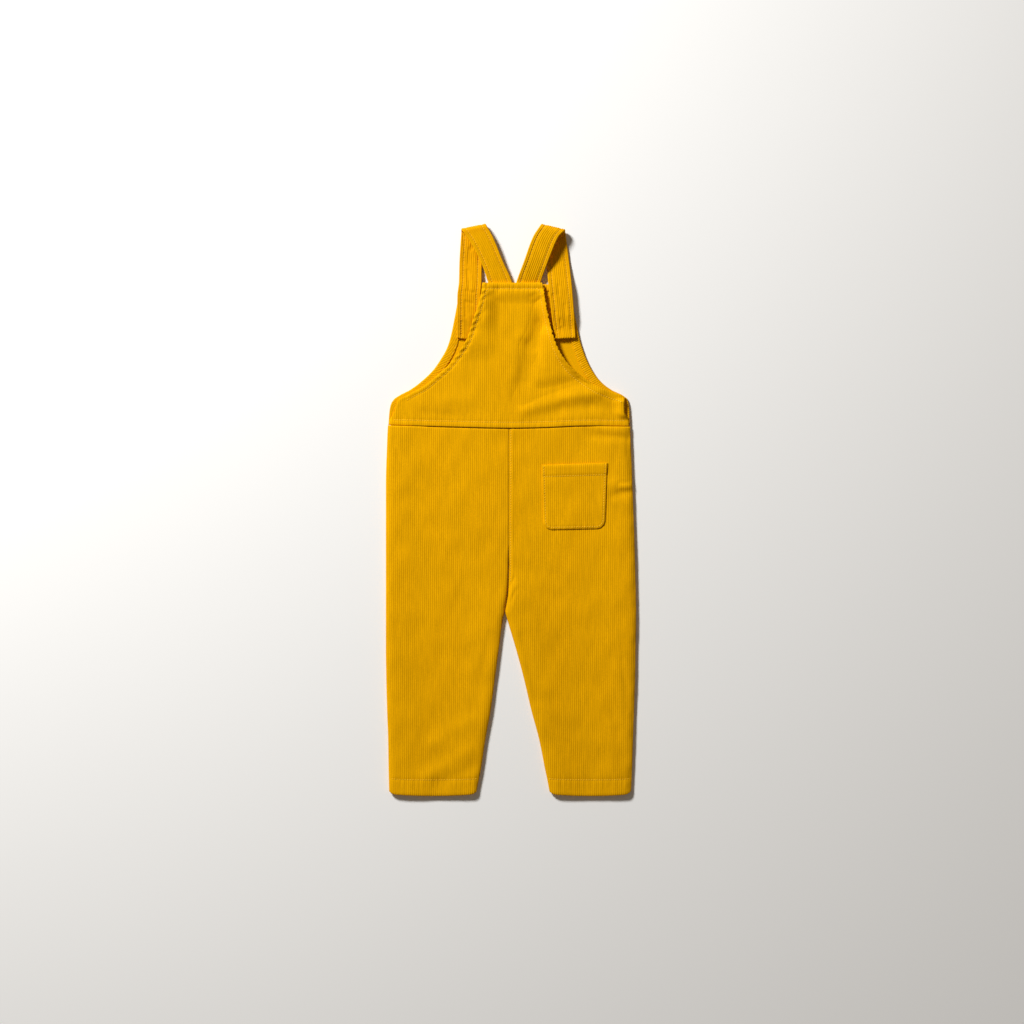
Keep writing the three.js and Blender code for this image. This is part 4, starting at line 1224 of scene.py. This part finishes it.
def make_button(name, middle_x, material):
    """A round button with a rolled rim, a dished middle and four sewing holes."""
    outer = BUTTON_RADIUS * MM
    tall = BUTTON_THICKNESS * MM
    profile = [(0.0, 0.55 * MM), (outer * 0.62, 0.55 * MM), (outer * 0.72, 0.3 * MM),
               (outer * 0.8, 0.05 * MM), (outer * 0.88, 0.0), (outer * 0.95, 0.12 * MM),
               (outer, 0.6 * MM), (outer, tall - 0.5 * MM),
               (outer * 0.94, tall - 0.1 * MM), (outer * 0.85, tall), (0.0, tall)]
    work = bmesh.new()
    verts = [work.verts.new((radius, 0, z)) for radius, z in profile]
    edges = [work.edges.new(pair) for pair in zip(verts[:-1], verts[1:])]
    bmesh.ops.spin(work, geom=verts + edges, cent=(0, 0, 0), axis=(0, 0, 1), angle=2 * np.pi, steps=64)
    bmesh.ops.remove_doubles(work, verts=work.verts, dist=SHORTEST_EDGE)
    bmesh.ops.recalc_face_normals(work, faces=work.faces)
    for face in work.faces:
        face.smooth = True
    mesh = bpy.data.meshes.new(name)
    work.to_mesh(mesh)
    work.free()
    piece = add_object(name, mesh)
    drill = bmesh.new()
    radius = BUTTON_HOLE_RADIUS * MM
    for side_x in (-BUTTON_HOLE_OFFSET, BUTTON_HOLE_OFFSET):
        for side_y in (-BUTTON_HOLE_OFFSET, BUTTON_HOLE_OFFSET):
            made = bmesh.ops.create_cone(drill, cap_ends=True, segments=16, radius1=radius,
                                         radius2=radius, depth=6 * MM)
            bmesh.ops.translate(drill, verts=made["verts"], vec=(side_x * MM, side_y * MM, tall / 2))
    drill_mesh = bpy.data.meshes.new(name + "_drill")
    drill.to_mesh(drill_mesh)
    drill.free()
    cutter = add_object(name + "_drill", drill_mesh)
    cut = piece.modifiers.new("holes", "BOOLEAN")
    cut.object = cutter
    cut.solver = "EXACT"
    evaluated = piece.evaluated_get(bpy.context.evaluated_depsgraph_get())
    finished = bpy.data.meshes.new_from_object(evaluated)
    piece.modifiers.clear()
    bpy.data.objects.remove(cutter)
    finished.transform(Matrix.Translation(Vector((middle_x, BUTTON_HEIGHT - LENGTH / 2, 0)) * MM))
    piece.data = finished
    finished.materials.clear()
    finished.materials.append(material)
    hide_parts(name)
    return piece


def surface_line(points, face, to_y, lift):
    """Places of a stitch line on a face, in metres."""
    x, height = points[:, 0], points[:, 1]
    z = face(x, height) + lift
    return np.stack([x, to_y(x, height) - LENGTH / 2, z], axis=1) * MM


def straight(x1, y1, x2, y2, step=3.0):
    """Evenly spaced places from one point to another."""
    count = max(2, int(np.hypot(x2 - x1, y2 - y1) / step))
    t = np.linspace(0, 1, count)[:, None]
    return np.array([[x1, y1]]) * (1 - t) + np.array([[x2, y2]]) * t


def rounded_bib_line():
    """The topstitching of the back bib: up one armhole, round the top hem and down the other."""
    level = BIB_TOP - BIB_HEM
    sides = {}
    for column in ("left", "right"):
        line = edge_line(BACK_BIB, column, lambda height: stitch_inset(column, height),
                         ARMHOLE_STITCH_FOOT)
        sides[column] = line[line[:, 1] < level - 4]
    left, right = sides["left"], sides["right"]
    x1, x2 = left[-1, 0] + 1, right[-1, 0] - 1
    corner_left = np.array([[x1 + 0.6, level - 2], [x1 + 2, level - 0.6]])
    corner_right = np.array([[x2 - 2, level - 0.6], [x2 - 0.6, level - 2]])
    return np.concatenate([left, corner_left, straight(x1 + 4, level, x2 - 4, level), corner_right,
                           right[::-1]])


def leg_hem_line(rows, side):
    """The stitches of a leg's hem, which follow the rolled sides of the leg."""
    outer, inner = along(rows, "outer", HEM_DEPTH), float(leg_inner(rows, np.array(HEM_DEPTH)))
    hem = straight(outer - side * 4, HEM_DEPTH, inner + side * 4, HEM_DEPTH)

    def face(x, height):
        ends = along(rows, "outer", height), leg_inner(rows, height)
        flat = back_leg_face(rows, side, x, height)
        return rolled_outer(x, np.minimum(*ends), np.maximum(*ends), flat, SIDE_SEAM_Z + SEAM_GAP / 2,
                            left_turn=1, right_turn=1, up=1, width=SIDE_FOLD_WIDTH)

    return surface_line(hem, face, lambda x, height: leg_y(rows, x, height), STITCH_SINK)


def centre_line():
    """The stitches to the right of the centre seam."""
    heights = spread([CROTCH_HEIGHT + 34, WAIST_HEIGHT - 1.5], 4)
    line = np.stack([along(CENTRE_SEAM, "across", heights) + CENTRE_STITCH, heights], axis=1)
    return surface_line(line, lambda x, height: back_leg_face(LEG_RIGHT, 1, x, height),
                        lambda x, height: leg_y(LEG_RIGHT, x, height), STITCH_SINK)


def pocket_lines():
    """The stitches round the pocket and along its hem."""
    def face(x, level):
        return pocket_ground(x, pocket_point(x, level)) + pocket_rise(x, level)

    edge = pocket_outline(POCKET_STITCH)
    hem_level = POCKET_TALL - POCKET_HEM
    for line in (edge[edge[:, 1] < POCKET_TALL - 0.8], straight(37, hem_level, 102.4, hem_level)):
        yield surface_line(line, face, pocket_point, STITCH_SINK)


def strap_lines(strap, creases):
    """The stitches along both sides of a strap, on both of its faces."""
    radius = settings().thread_width / MM / 2
    left, right, normal, run = strap_sections(strap)
    width = float(np.linalg.norm(right[0] - left[0]))
    for share in (STRAP_STITCH / width, 1 - STRAP_STITCH / width):
        middle = left + (right - left) * share
        half = strap_half(np.array(share), width, run)[:, None] + STITCH_SINK
        crease = strap_crease(creases, middle[:, None], run)
        middle[:, 2] += end_curl(strap, run)
        for face, depth in ((1, 1), (-1, STRAP_UNDERSIDE_CREASE)):
            line = middle + face * normal * (half + depth * crease)
            line[:, 2] = np.maximum(line[:, 2], radius)
            yield line * MM


def stitch_lines():
    """Every line of topstitching, each a row of places in metres."""
    waist = WAIST_HEIGHT + WAIST_STITCH
    lines = [surface_line(points, back_bib_face, bib_y, STITCH_SINK)
             for points in (rounded_bib_line(), straight(-127.5, waist, 123.5, waist))]
    lines += [leg_hem_line(LEG_LEFT, -1), leg_hem_line(LEG_RIGHT, 1), centre_line(), *pocket_lines()]

    def turned_hem_face(x, height):
        return front_bib_inside(x, np.minimum(height, FRONT_BIB["height"][-1])) + 0.55

    for column in ("left", "right"):
        line = edge_line(FRONT_BIB, column, FRONT_BAND * 0.8, ARMHOLE_CORNER + 3)
        lines.append(surface_line(line, turned_hem_face, bib_y, STITCH_SINK))
    for strap, creases in ((STRAP_LEFT, STRAP_CREASES_LEFT), (STRAP_RIGHT, STRAP_CREASES_RIGHT)):
        lines += strap_lines(strap, creases)
    return lines


def add_socket(tree, name, kind, value=None):
    """An input of the stitches' node group."""
    socket = tree.interface.new_socket(name, in_out="INPUT", socket_type=kind)
    if value is not None:
        socket.default_value = value


def set_inputs(node, values):
    """Sets the unwired inputs of a node by their names."""
    for name, value in values.items():
        node.inputs[name].default_value = value


def stitch_tree(material):
    """Lays short lengths of thread along every curve of the piece."""
    tree = bpy.data.node_groups.new("Topstitching", "GeometryNodeTree")
    add_socket(tree, "Lines", "NodeSocketGeometry")
    add_socket(tree, "Pitch", "NodeSocketFloat", 0.0028)
    add_socket(tree, "Stitch length", "NodeSocketFloat", 0.0022)
    add_socket(tree, "Thread width", "NodeSocketFloat", 0.0006)
    add_socket(tree, "Seed", "NodeSocketInt", 4)
    tree.interface.new_socket("Stitches", in_out="OUTPUT", socket_type="NodeSocketGeometry")
    nodes, links = tree.nodes, tree.links
    entry, leave = nodes.new("NodeGroupInput"), nodes.new("NodeGroupOutput")
    resample = nodes.new("GeometryNodeResampleCurve")
    resample.mode = "LENGTH"
    ball = nodes.new("GeometryNodeMeshUVSphere")
    set_inputs(ball, {"Segments": 8, "Rings": 5, "Radius": 0.5})
    tangent = nodes.new("GeometryNodeInputTangent")
    align = nodes.new("FunctionNodeAlignEulerToVector")
    align.axis = "X"
    jitter = nodes.new("FunctionNodeRandomValue")
    jitter.data_type = "FLOAT"
    jitter.inputs[2].default_value = 0.86
    jitter.inputs[3].default_value = 1.08
    stretch = nodes.new("ShaderNodeMath")
    stretch.operation = "MULTIPLY"
    size = nodes.new("ShaderNodeCombineXYZ")
    place = nodes.new("GeometryNodeInstanceOnPoints")
    realize = nodes.new("GeometryNodeRealizeInstances")
    shade = nodes.new("GeometryNodeSetShadeSmooth")
    paint = nodes.new("GeometryNodeSetMaterial")
    paint.inputs["Material"].default_value = material
    wiring = [
        (entry.outputs["Lines"], resample.inputs["Curve"]),
        (entry.outputs["Pitch"], resample.inputs["Length"]),
        (resample.outputs["Curve"], place.inputs["Points"]),
        (ball.outputs["Mesh"], place.inputs["Instance"]),
        (tangent.outputs["Tangent"], align.inputs["Vector"]),
        (align.outputs["Rotation"], place.inputs["Rotation"]),
        (entry.outputs["Seed"], jitter.inputs["Seed"]),
        (entry.outputs["Stitch length"], stretch.inputs[0]),
        (jitter.outputs[1], stretch.inputs[1]),
        (stretch.outputs[0], size.inputs["X"]),
        (entry.outputs["Thread width"], size.inputs["Y"]),
        (entry.outputs["Thread width"], size.inputs["Z"]),
        (size.outputs["Vector"], place.inputs["Scale"]),
        (place.outputs["Instances"], realize.inputs["Geometry"]),
        (realize.outputs["Geometry"], shade.inputs["Geometry"]),
        (shade.outputs["Geometry"], paint.inputs["Geometry"]),
        (paint.outputs["Geometry"], leave.inputs["Stitches"]),
    ]
    for start, end in wiring:
        links.new(start, end)
    return tree


def make_stitches(material):
    """Builds all the topstitching as one piece."""
    cloth = settings()
    curve = bpy.data.curves.new("stitch_lines", "CURVE")
    curve.dimensions = "3D"
    for line in stitch_lines():
        spline = curve.splines.new("POLY")
        spline.points.add(len(line) - 1)
        spline.points.foreach_set("co", np.concatenate([line, np.ones((len(line), 1))], axis=1).ravel())
    guide = add_object("stitch_lines", curve)
    tree = stitch_tree(material)
    modifier = guide.modifiers.new("Topstitching", "NODES")
    modifier.node_group = tree
    values = {"Pitch": cloth.stitch_pitch, "Stitch length": cloth.stitch_length,
              "Thread width": cloth.thread_width}
    for socket in tree.interface.items_tree:
        if socket.name in values:
            modifier[socket.identifier] = values[socket.name]
    made = guide.evaluated_get(bpy.context.evaluated_depsgraph_get())
    mesh = bpy.data.meshes.new_from_object(made)
    guide.modifiers.clear()
    bpy.data.objects.remove(guide)
    return add_object("topstitching", mesh)


def new_material(name):
    """A new material with its nodes, its links and its shader."""
    material = bpy.data.materials.new(name)
    material.use_nodes = True
    shader = material.node_tree.nodes["Principled BSDF"]
    return material, material.node_tree.nodes, material.node_tree.links, shader


def noise(nodes, links, scale, detail, stretch=(1, 1, 1)):
    """Cloudy factor in the garment's own space, stretched along its axes."""
    texture = nodes.new("ShaderNodeTexNoise")
    set_inputs(texture, {"Scale": scale, "Detail": detail})
    place = nodes.new("ShaderNodeTexCoord")
    mapping = nodes.new("ShaderNodeMapping")
    set_inputs(mapping, {"Scale": stretch})
    links.new(place.outputs["Object"], mapping.inputs["Vector"])
    links.new(mapping.outputs["Vector"], texture.inputs["Vector"])
    return texture.outputs["Fac"]


def tone(nodes, links, colour, factor, low, high):
    """Brightens and darkens a colour by a factor that runs from 0 to 1."""
    spread_out = nodes.new("ShaderNodeMapRange")
    set_inputs(spread_out, {"From Min": 0.3, "From Max": 0.7, "To Min": low, "To Max": high})
    links.new(factor, spread_out.inputs["Value"])
    change = nodes.new("ShaderNodeHueSaturation")
    links.new(colour, change.inputs["Color"])
    links.new(spread_out.outputs["Result"], change.inputs["Value"])
    return change.outputs["Color"]


def rib_colour(nodes, links, crest, groove):
    """Colour of the pile, from the grooves to the crests of its ribs; on the straps' lower runs the same
    attribute also carries painted shade.
    """
    pile = nodes.new("ShaderNodeAttribute")
    pile.attribute_name = "pile"
    blend = nodes.new("ShaderNodeMix")
    blend.data_type = "RGBA"
    set_inputs(blend, {"A": (*groove, 1), "B": (*crest, 1)})
    links.new(pile.outputs["Fac"], blend.inputs["Factor"])
    return blend.outputs["Result"]


def uneven_colour(nodes, links, colour, scale, detail, low, high):
    """One colour, brightened and darkened in small clouds."""
    base = nodes.new("ShaderNodeRGB")
    base.outputs[0].default_value = (*colour, 1)
    return tone(nodes, links, base.outputs[0], noise(nodes, links, scale, detail), low, high)


def add_bump(nodes, links, shader, height, strength, distance):
    """Fine relief from a height that runs from 0 to 1."""
    relief = nodes.new("ShaderNodeBump")
    set_inputs(relief, {"Strength": strength, "Distance": distance})
    links.new(height, relief.inputs["Height"])
    links.new(relief.outputs["Normal"], shader.inputs["Normal"])


def corduroy_material(name, crest, groove):
    """Cut pile: bright crests, darker grooves, a soft sheen and slightly uneven dye."""
    material, nodes, links, shader = new_material(name)
    colour = rib_colour(nodes, links, crest, groove)
    colour = tone(nodes, links, colour, noise(nodes, links, 900, 4), 0.91, 1.07)
    colour = tone(nodes, links, colour, noise(nodes, links, 26, 3), 0.965, 1.03)
    colour = tone(nodes, links, colour, noise(nodes, links, 420, 3, (1, 0.12, 1)), 0.93, 1.06)
    links.new(colour, shader.inputs["Base Color"])
    set_inputs(shader, {"Roughness": 0.92, "Specular IOR Level": 0.04, "Sheen Weight": 0.2,
                        "Sheen Roughness": 0.4, "Sheen Tint": SHEEN_TINT})
    add_bump(nodes, links, shader, noise(nodes, links, 2600, 3), 0.35, 0.0002)
    return material


def inside_material(name, crest, groove):
    """Smooth back of the cloth, with a fine twill; its turned hems show the ribs."""
    material, nodes, links, shader = new_material(name)
    colour = rib_colour(nodes, links, crest, groove)
    colour = tone(nodes, links, colour, noise(nodes, links, 700, 3), 0.93, 1.06)
    links.new(colour, shader.inputs["Base Color"])
    set_inputs(shader, {"Roughness": 0.9, "Specular IOR Level": 0.04, "Sheen Weight": 0.1,
                        "Sheen Tint": SHEEN_TINT})
    place = nodes.new("ShaderNodeTexCoord")
    turned = nodes.new("ShaderNodeMapping")
    set_inputs(turned, {"Rotation": (0, 0, 0.8)})
    links.new(place.outputs["Object"], turned.inputs["Vector"])
    twill = nodes.new("ShaderNodeTexWave")
    set_inputs(twill, {"Scale": 420, "Distortion": 1.5})
    links.new(turned.outputs["Vector"], twill.inputs["Vector"])
    add_bump(nodes, links, shader, twill.outputs["Fac"], 0.3, 0.00015)
    return material


def thread_material(name, colour):
    """Dull sewing thread with its twist as a fine relief."""
    material, nodes, links, shader = new_material(name)
    links.new(uneven_colour(nodes, links, colour, 1800, 2, 0.86, 1.08), shader.inputs["Base Color"])
    set_inputs(shader, {"Roughness": 0.8, "Specular IOR Level": 0.04})
    add_bump(nodes, links, shader, noise(nodes, links, 5200, 3), 0.4, 0.0001)
    return material


def button_material(name, colour):
    """Polished plastic with darker and lighter clouds."""
    material, nodes, links, shader = new_material(name)
    links.new(uneven_colour(nodes, links, colour, 160, 5, 0.75, 1.35), shader.inputs["Base Color"])
    set_inputs(shader, {"Roughness": 0.28, "Coat Weight": 0.25})
    return material


def materials():
    """The garment's finishes, made once."""
    cloth = settings()
    makers = {
        "mustard_corduroy": (corduroy_material, cloth.cloth_colour, cloth.groove_colour),
        "smooth_inside": (inside_material, cloth.inside_colour, cloth.groove_colour),
        "pale_thread": (thread_material, cloth.thread_colour),
        "brown_plastic": (button_material, cloth.button_colour),
    }
    return {name: bpy.data.materials.get(name) or make(name, *colours)
            for name, (make, *colours) in makers.items()}


def dress(piece):
    """Fixes a piece to the garment's body."""
    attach(piece, "root")


class BuildTrousers(bpy.types.Operator):
    """Builds the four leg panels, front and back"""

    bl_idname = "dungarees.trousers"
    bl_label = "Trousers"

    def execute(self, context):
        cloth = materials()["mustard_corduroy"]
        for layer in ("back", "front"):
            for side_name, rows, side in (("left", LEG_LEFT, -1), ("right", LEG_RIGHT, 1)):
                piece = make_leg(f"{layer}_leg_{side_name}", rows, side, layer == "back", cloth)
                dress(piece)
        return {"FINISHED"}


class BuildBibs(bpy.types.Operator):
    """Builds the back bib and the front bib with its turned hems"""

    bl_idname = "dungarees.bibs"
    bl_label = "Bibs"

    def execute(self, context):
        finishes = materials()
        back = make_back_bib(finishes["mustard_corduroy"])
        dress(back)
        cloth = make_front_bib()
        add_turned_hems(cloth)
        front = cloth.finish("front_bib", finishes["smooth_inside"])
        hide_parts("front_bib")
        dress(front)
        return {"FINISHED"}


class BuildStraps(bpy.types.Operator):
    """Builds the two folded shoulder straps"""

    bl_idname = "dungarees.straps"
    bl_label = "Straps"

    def execute(self, context):
        cloth = materials()["mustard_corduroy"]
        cuts = [("strap_left", STRAP_LEFT, STRAP_CREASES_LEFT),
                ("strap_right", STRAP_RIGHT, STRAP_CREASES_RIGHT)]
        for name, strap, creases in cuts:
            piece = make_strap(name, strap, creases, cloth)
            dress(piece)
        return {"FINISHED"}


class BuildPocket(bpy.types.Operator):
    """Builds the patch pocket on the right seat"""

    bl_idname = "dungarees.pocket"
    bl_label = "Pocket"

    def execute(self, context):
        piece = make_pocket(materials()["mustard_corduroy"])
        dress(piece)
        return {"FINISHED"}


class BuildButtons(bpy.types.Operator):
    """Builds the two strap buttons under the front bib"""

    bl_idname = "dungarees.buttons"
    bl_label = "Buttons"

    def execute(self, context):
        plastic = materials()["brown_plastic"]
        for name, x in (("strap_button_left", BUTTON_LEFT_X), ("strap_button_right", BUTTON_RIGHT_X)):
            dress(make_button(name, x, plastic))
        return {"FINISHED"}


class BuildStitches(bpy.types.Operator):
    """Lays the topstitching along the hems, seams, pocket and straps"""

    bl_idname = "dungarees.stitches"
    bl_label = "Topstitching"

    def execute(self, context):
        dress(make_stitches(materials()["pale_thread"]))
        return {"FINISHED"}


class BuildStage(bpy.types.Operator):
    """Sets the camera over the garment, the soft light and the pale floor"""

    bl_idname = "dungarees.stage"
    bl_label = "Stage"

    def execute(self, context):
        scene = context.scene
        stage = scene.stage_settings
        half = stage.floor_size / 2
        mesh = bpy.data.meshes.new("floor")
        corners = [(-half, -half), (half, -half), (half, half), (-half, half)]
        mesh.from_pydata([(x, y, -FLOOR_DROP) for x, y in corners], [], [(0, 1, 2, 3)])
        floor = add_object("floor", mesh)
        pale, _, _, shader = new_material("pale_floor")
        set_inputs(shader, {"Base Color": FLOOR_COLOUR, "Roughness": 0.9, "Specular IOR Level": 0.1})
        mesh.materials.append(pale)

        world = scene.world or bpy.data.worlds.new("World")
        scene.world = world
        world.use_nodes = True
        set_inputs(world.node_tree.nodes["Background"], {"Color": FILL_COLOUR, "Strength": stage.fill})

        key = bpy.data.lights.new("key", "AREA")
        key.shape = "DISK"
        key.energy = stage.key_power
        key.size = stage.key_width
        lamp = add_object("key", key)
        lamp.location = KEY_PLACE
        lamp.rotation_euler = (-lamp.location).to_track_quat("-Z", "Y").to_euler()

        camera = bpy.data.cameras.new("camera")
        camera.lens = stage.lens
        camera.sensor_width = SENSOR_WIDTH
        view = add_object("camera", camera)
        view.location = (*PHOTO_MIDDLE, stage.camera_distance)
        scene.camera = view
        scene.view_settings.view_transform = "Standard"
        return {"FINISHED"}


class DungareesPanel(bpy.types.Panel):
    """Lists the garment's pieces"""

    bl_label = "Dungarees"
    bl_idname = "VIEW3D_PT_dungarees"
    bl_space_type = "VIEW_3D"
    bl_region_type = "UI"
    bl_category = "Dungarees"

    def draw(self, context):
        for group in (context.scene.cloth_settings, context.scene.stage_settings):
            for name in group.__annotations__:
                self.layout.prop(group, name)
        for operator in OPERATORS:
            self.layout.operator(operator.bl_idname)


OPERATORS = (BuildTrousers, BuildBibs, BuildStraps, BuildPocket, BuildButtons, BuildStitches,
             BuildStage)
CLASSES = (ClothSettings, StageSettings, *OPERATORS, DungareesPanel)


def register():
    """Adds the settings, the operators and the panel to Blender."""
    for cls in CLASSES:
        bpy.utils.register_class(cls)
    bpy.types.Scene.cloth_settings = bpy.props.PointerProperty(type=ClothSettings)
    bpy.types.Scene.stage_settings = bpy.props.PointerProperty(type=StageSettings)


def unregister():
    """Takes them out again."""
    del bpy.types.Scene.stage_settings
    del bpy.types.Scene.cloth_settings
    for cls in reversed(CLASSES):
        bpy.utils.unregister_class(cls)


def main():
    """Builds the stage and every piece."""
    register()
    bpy.ops.dungarees.stage()
    bpy.ops.dungarees.trousers()
    bpy.ops.dungarees.bibs()
    bpy.ops.dungarees.straps()
    bpy.ops.dungarees.pocket()
    bpy.ops.dungarees.buttons()
    bpy.ops.dungarees.stitches()


if __name__ == "__main__":
    main()
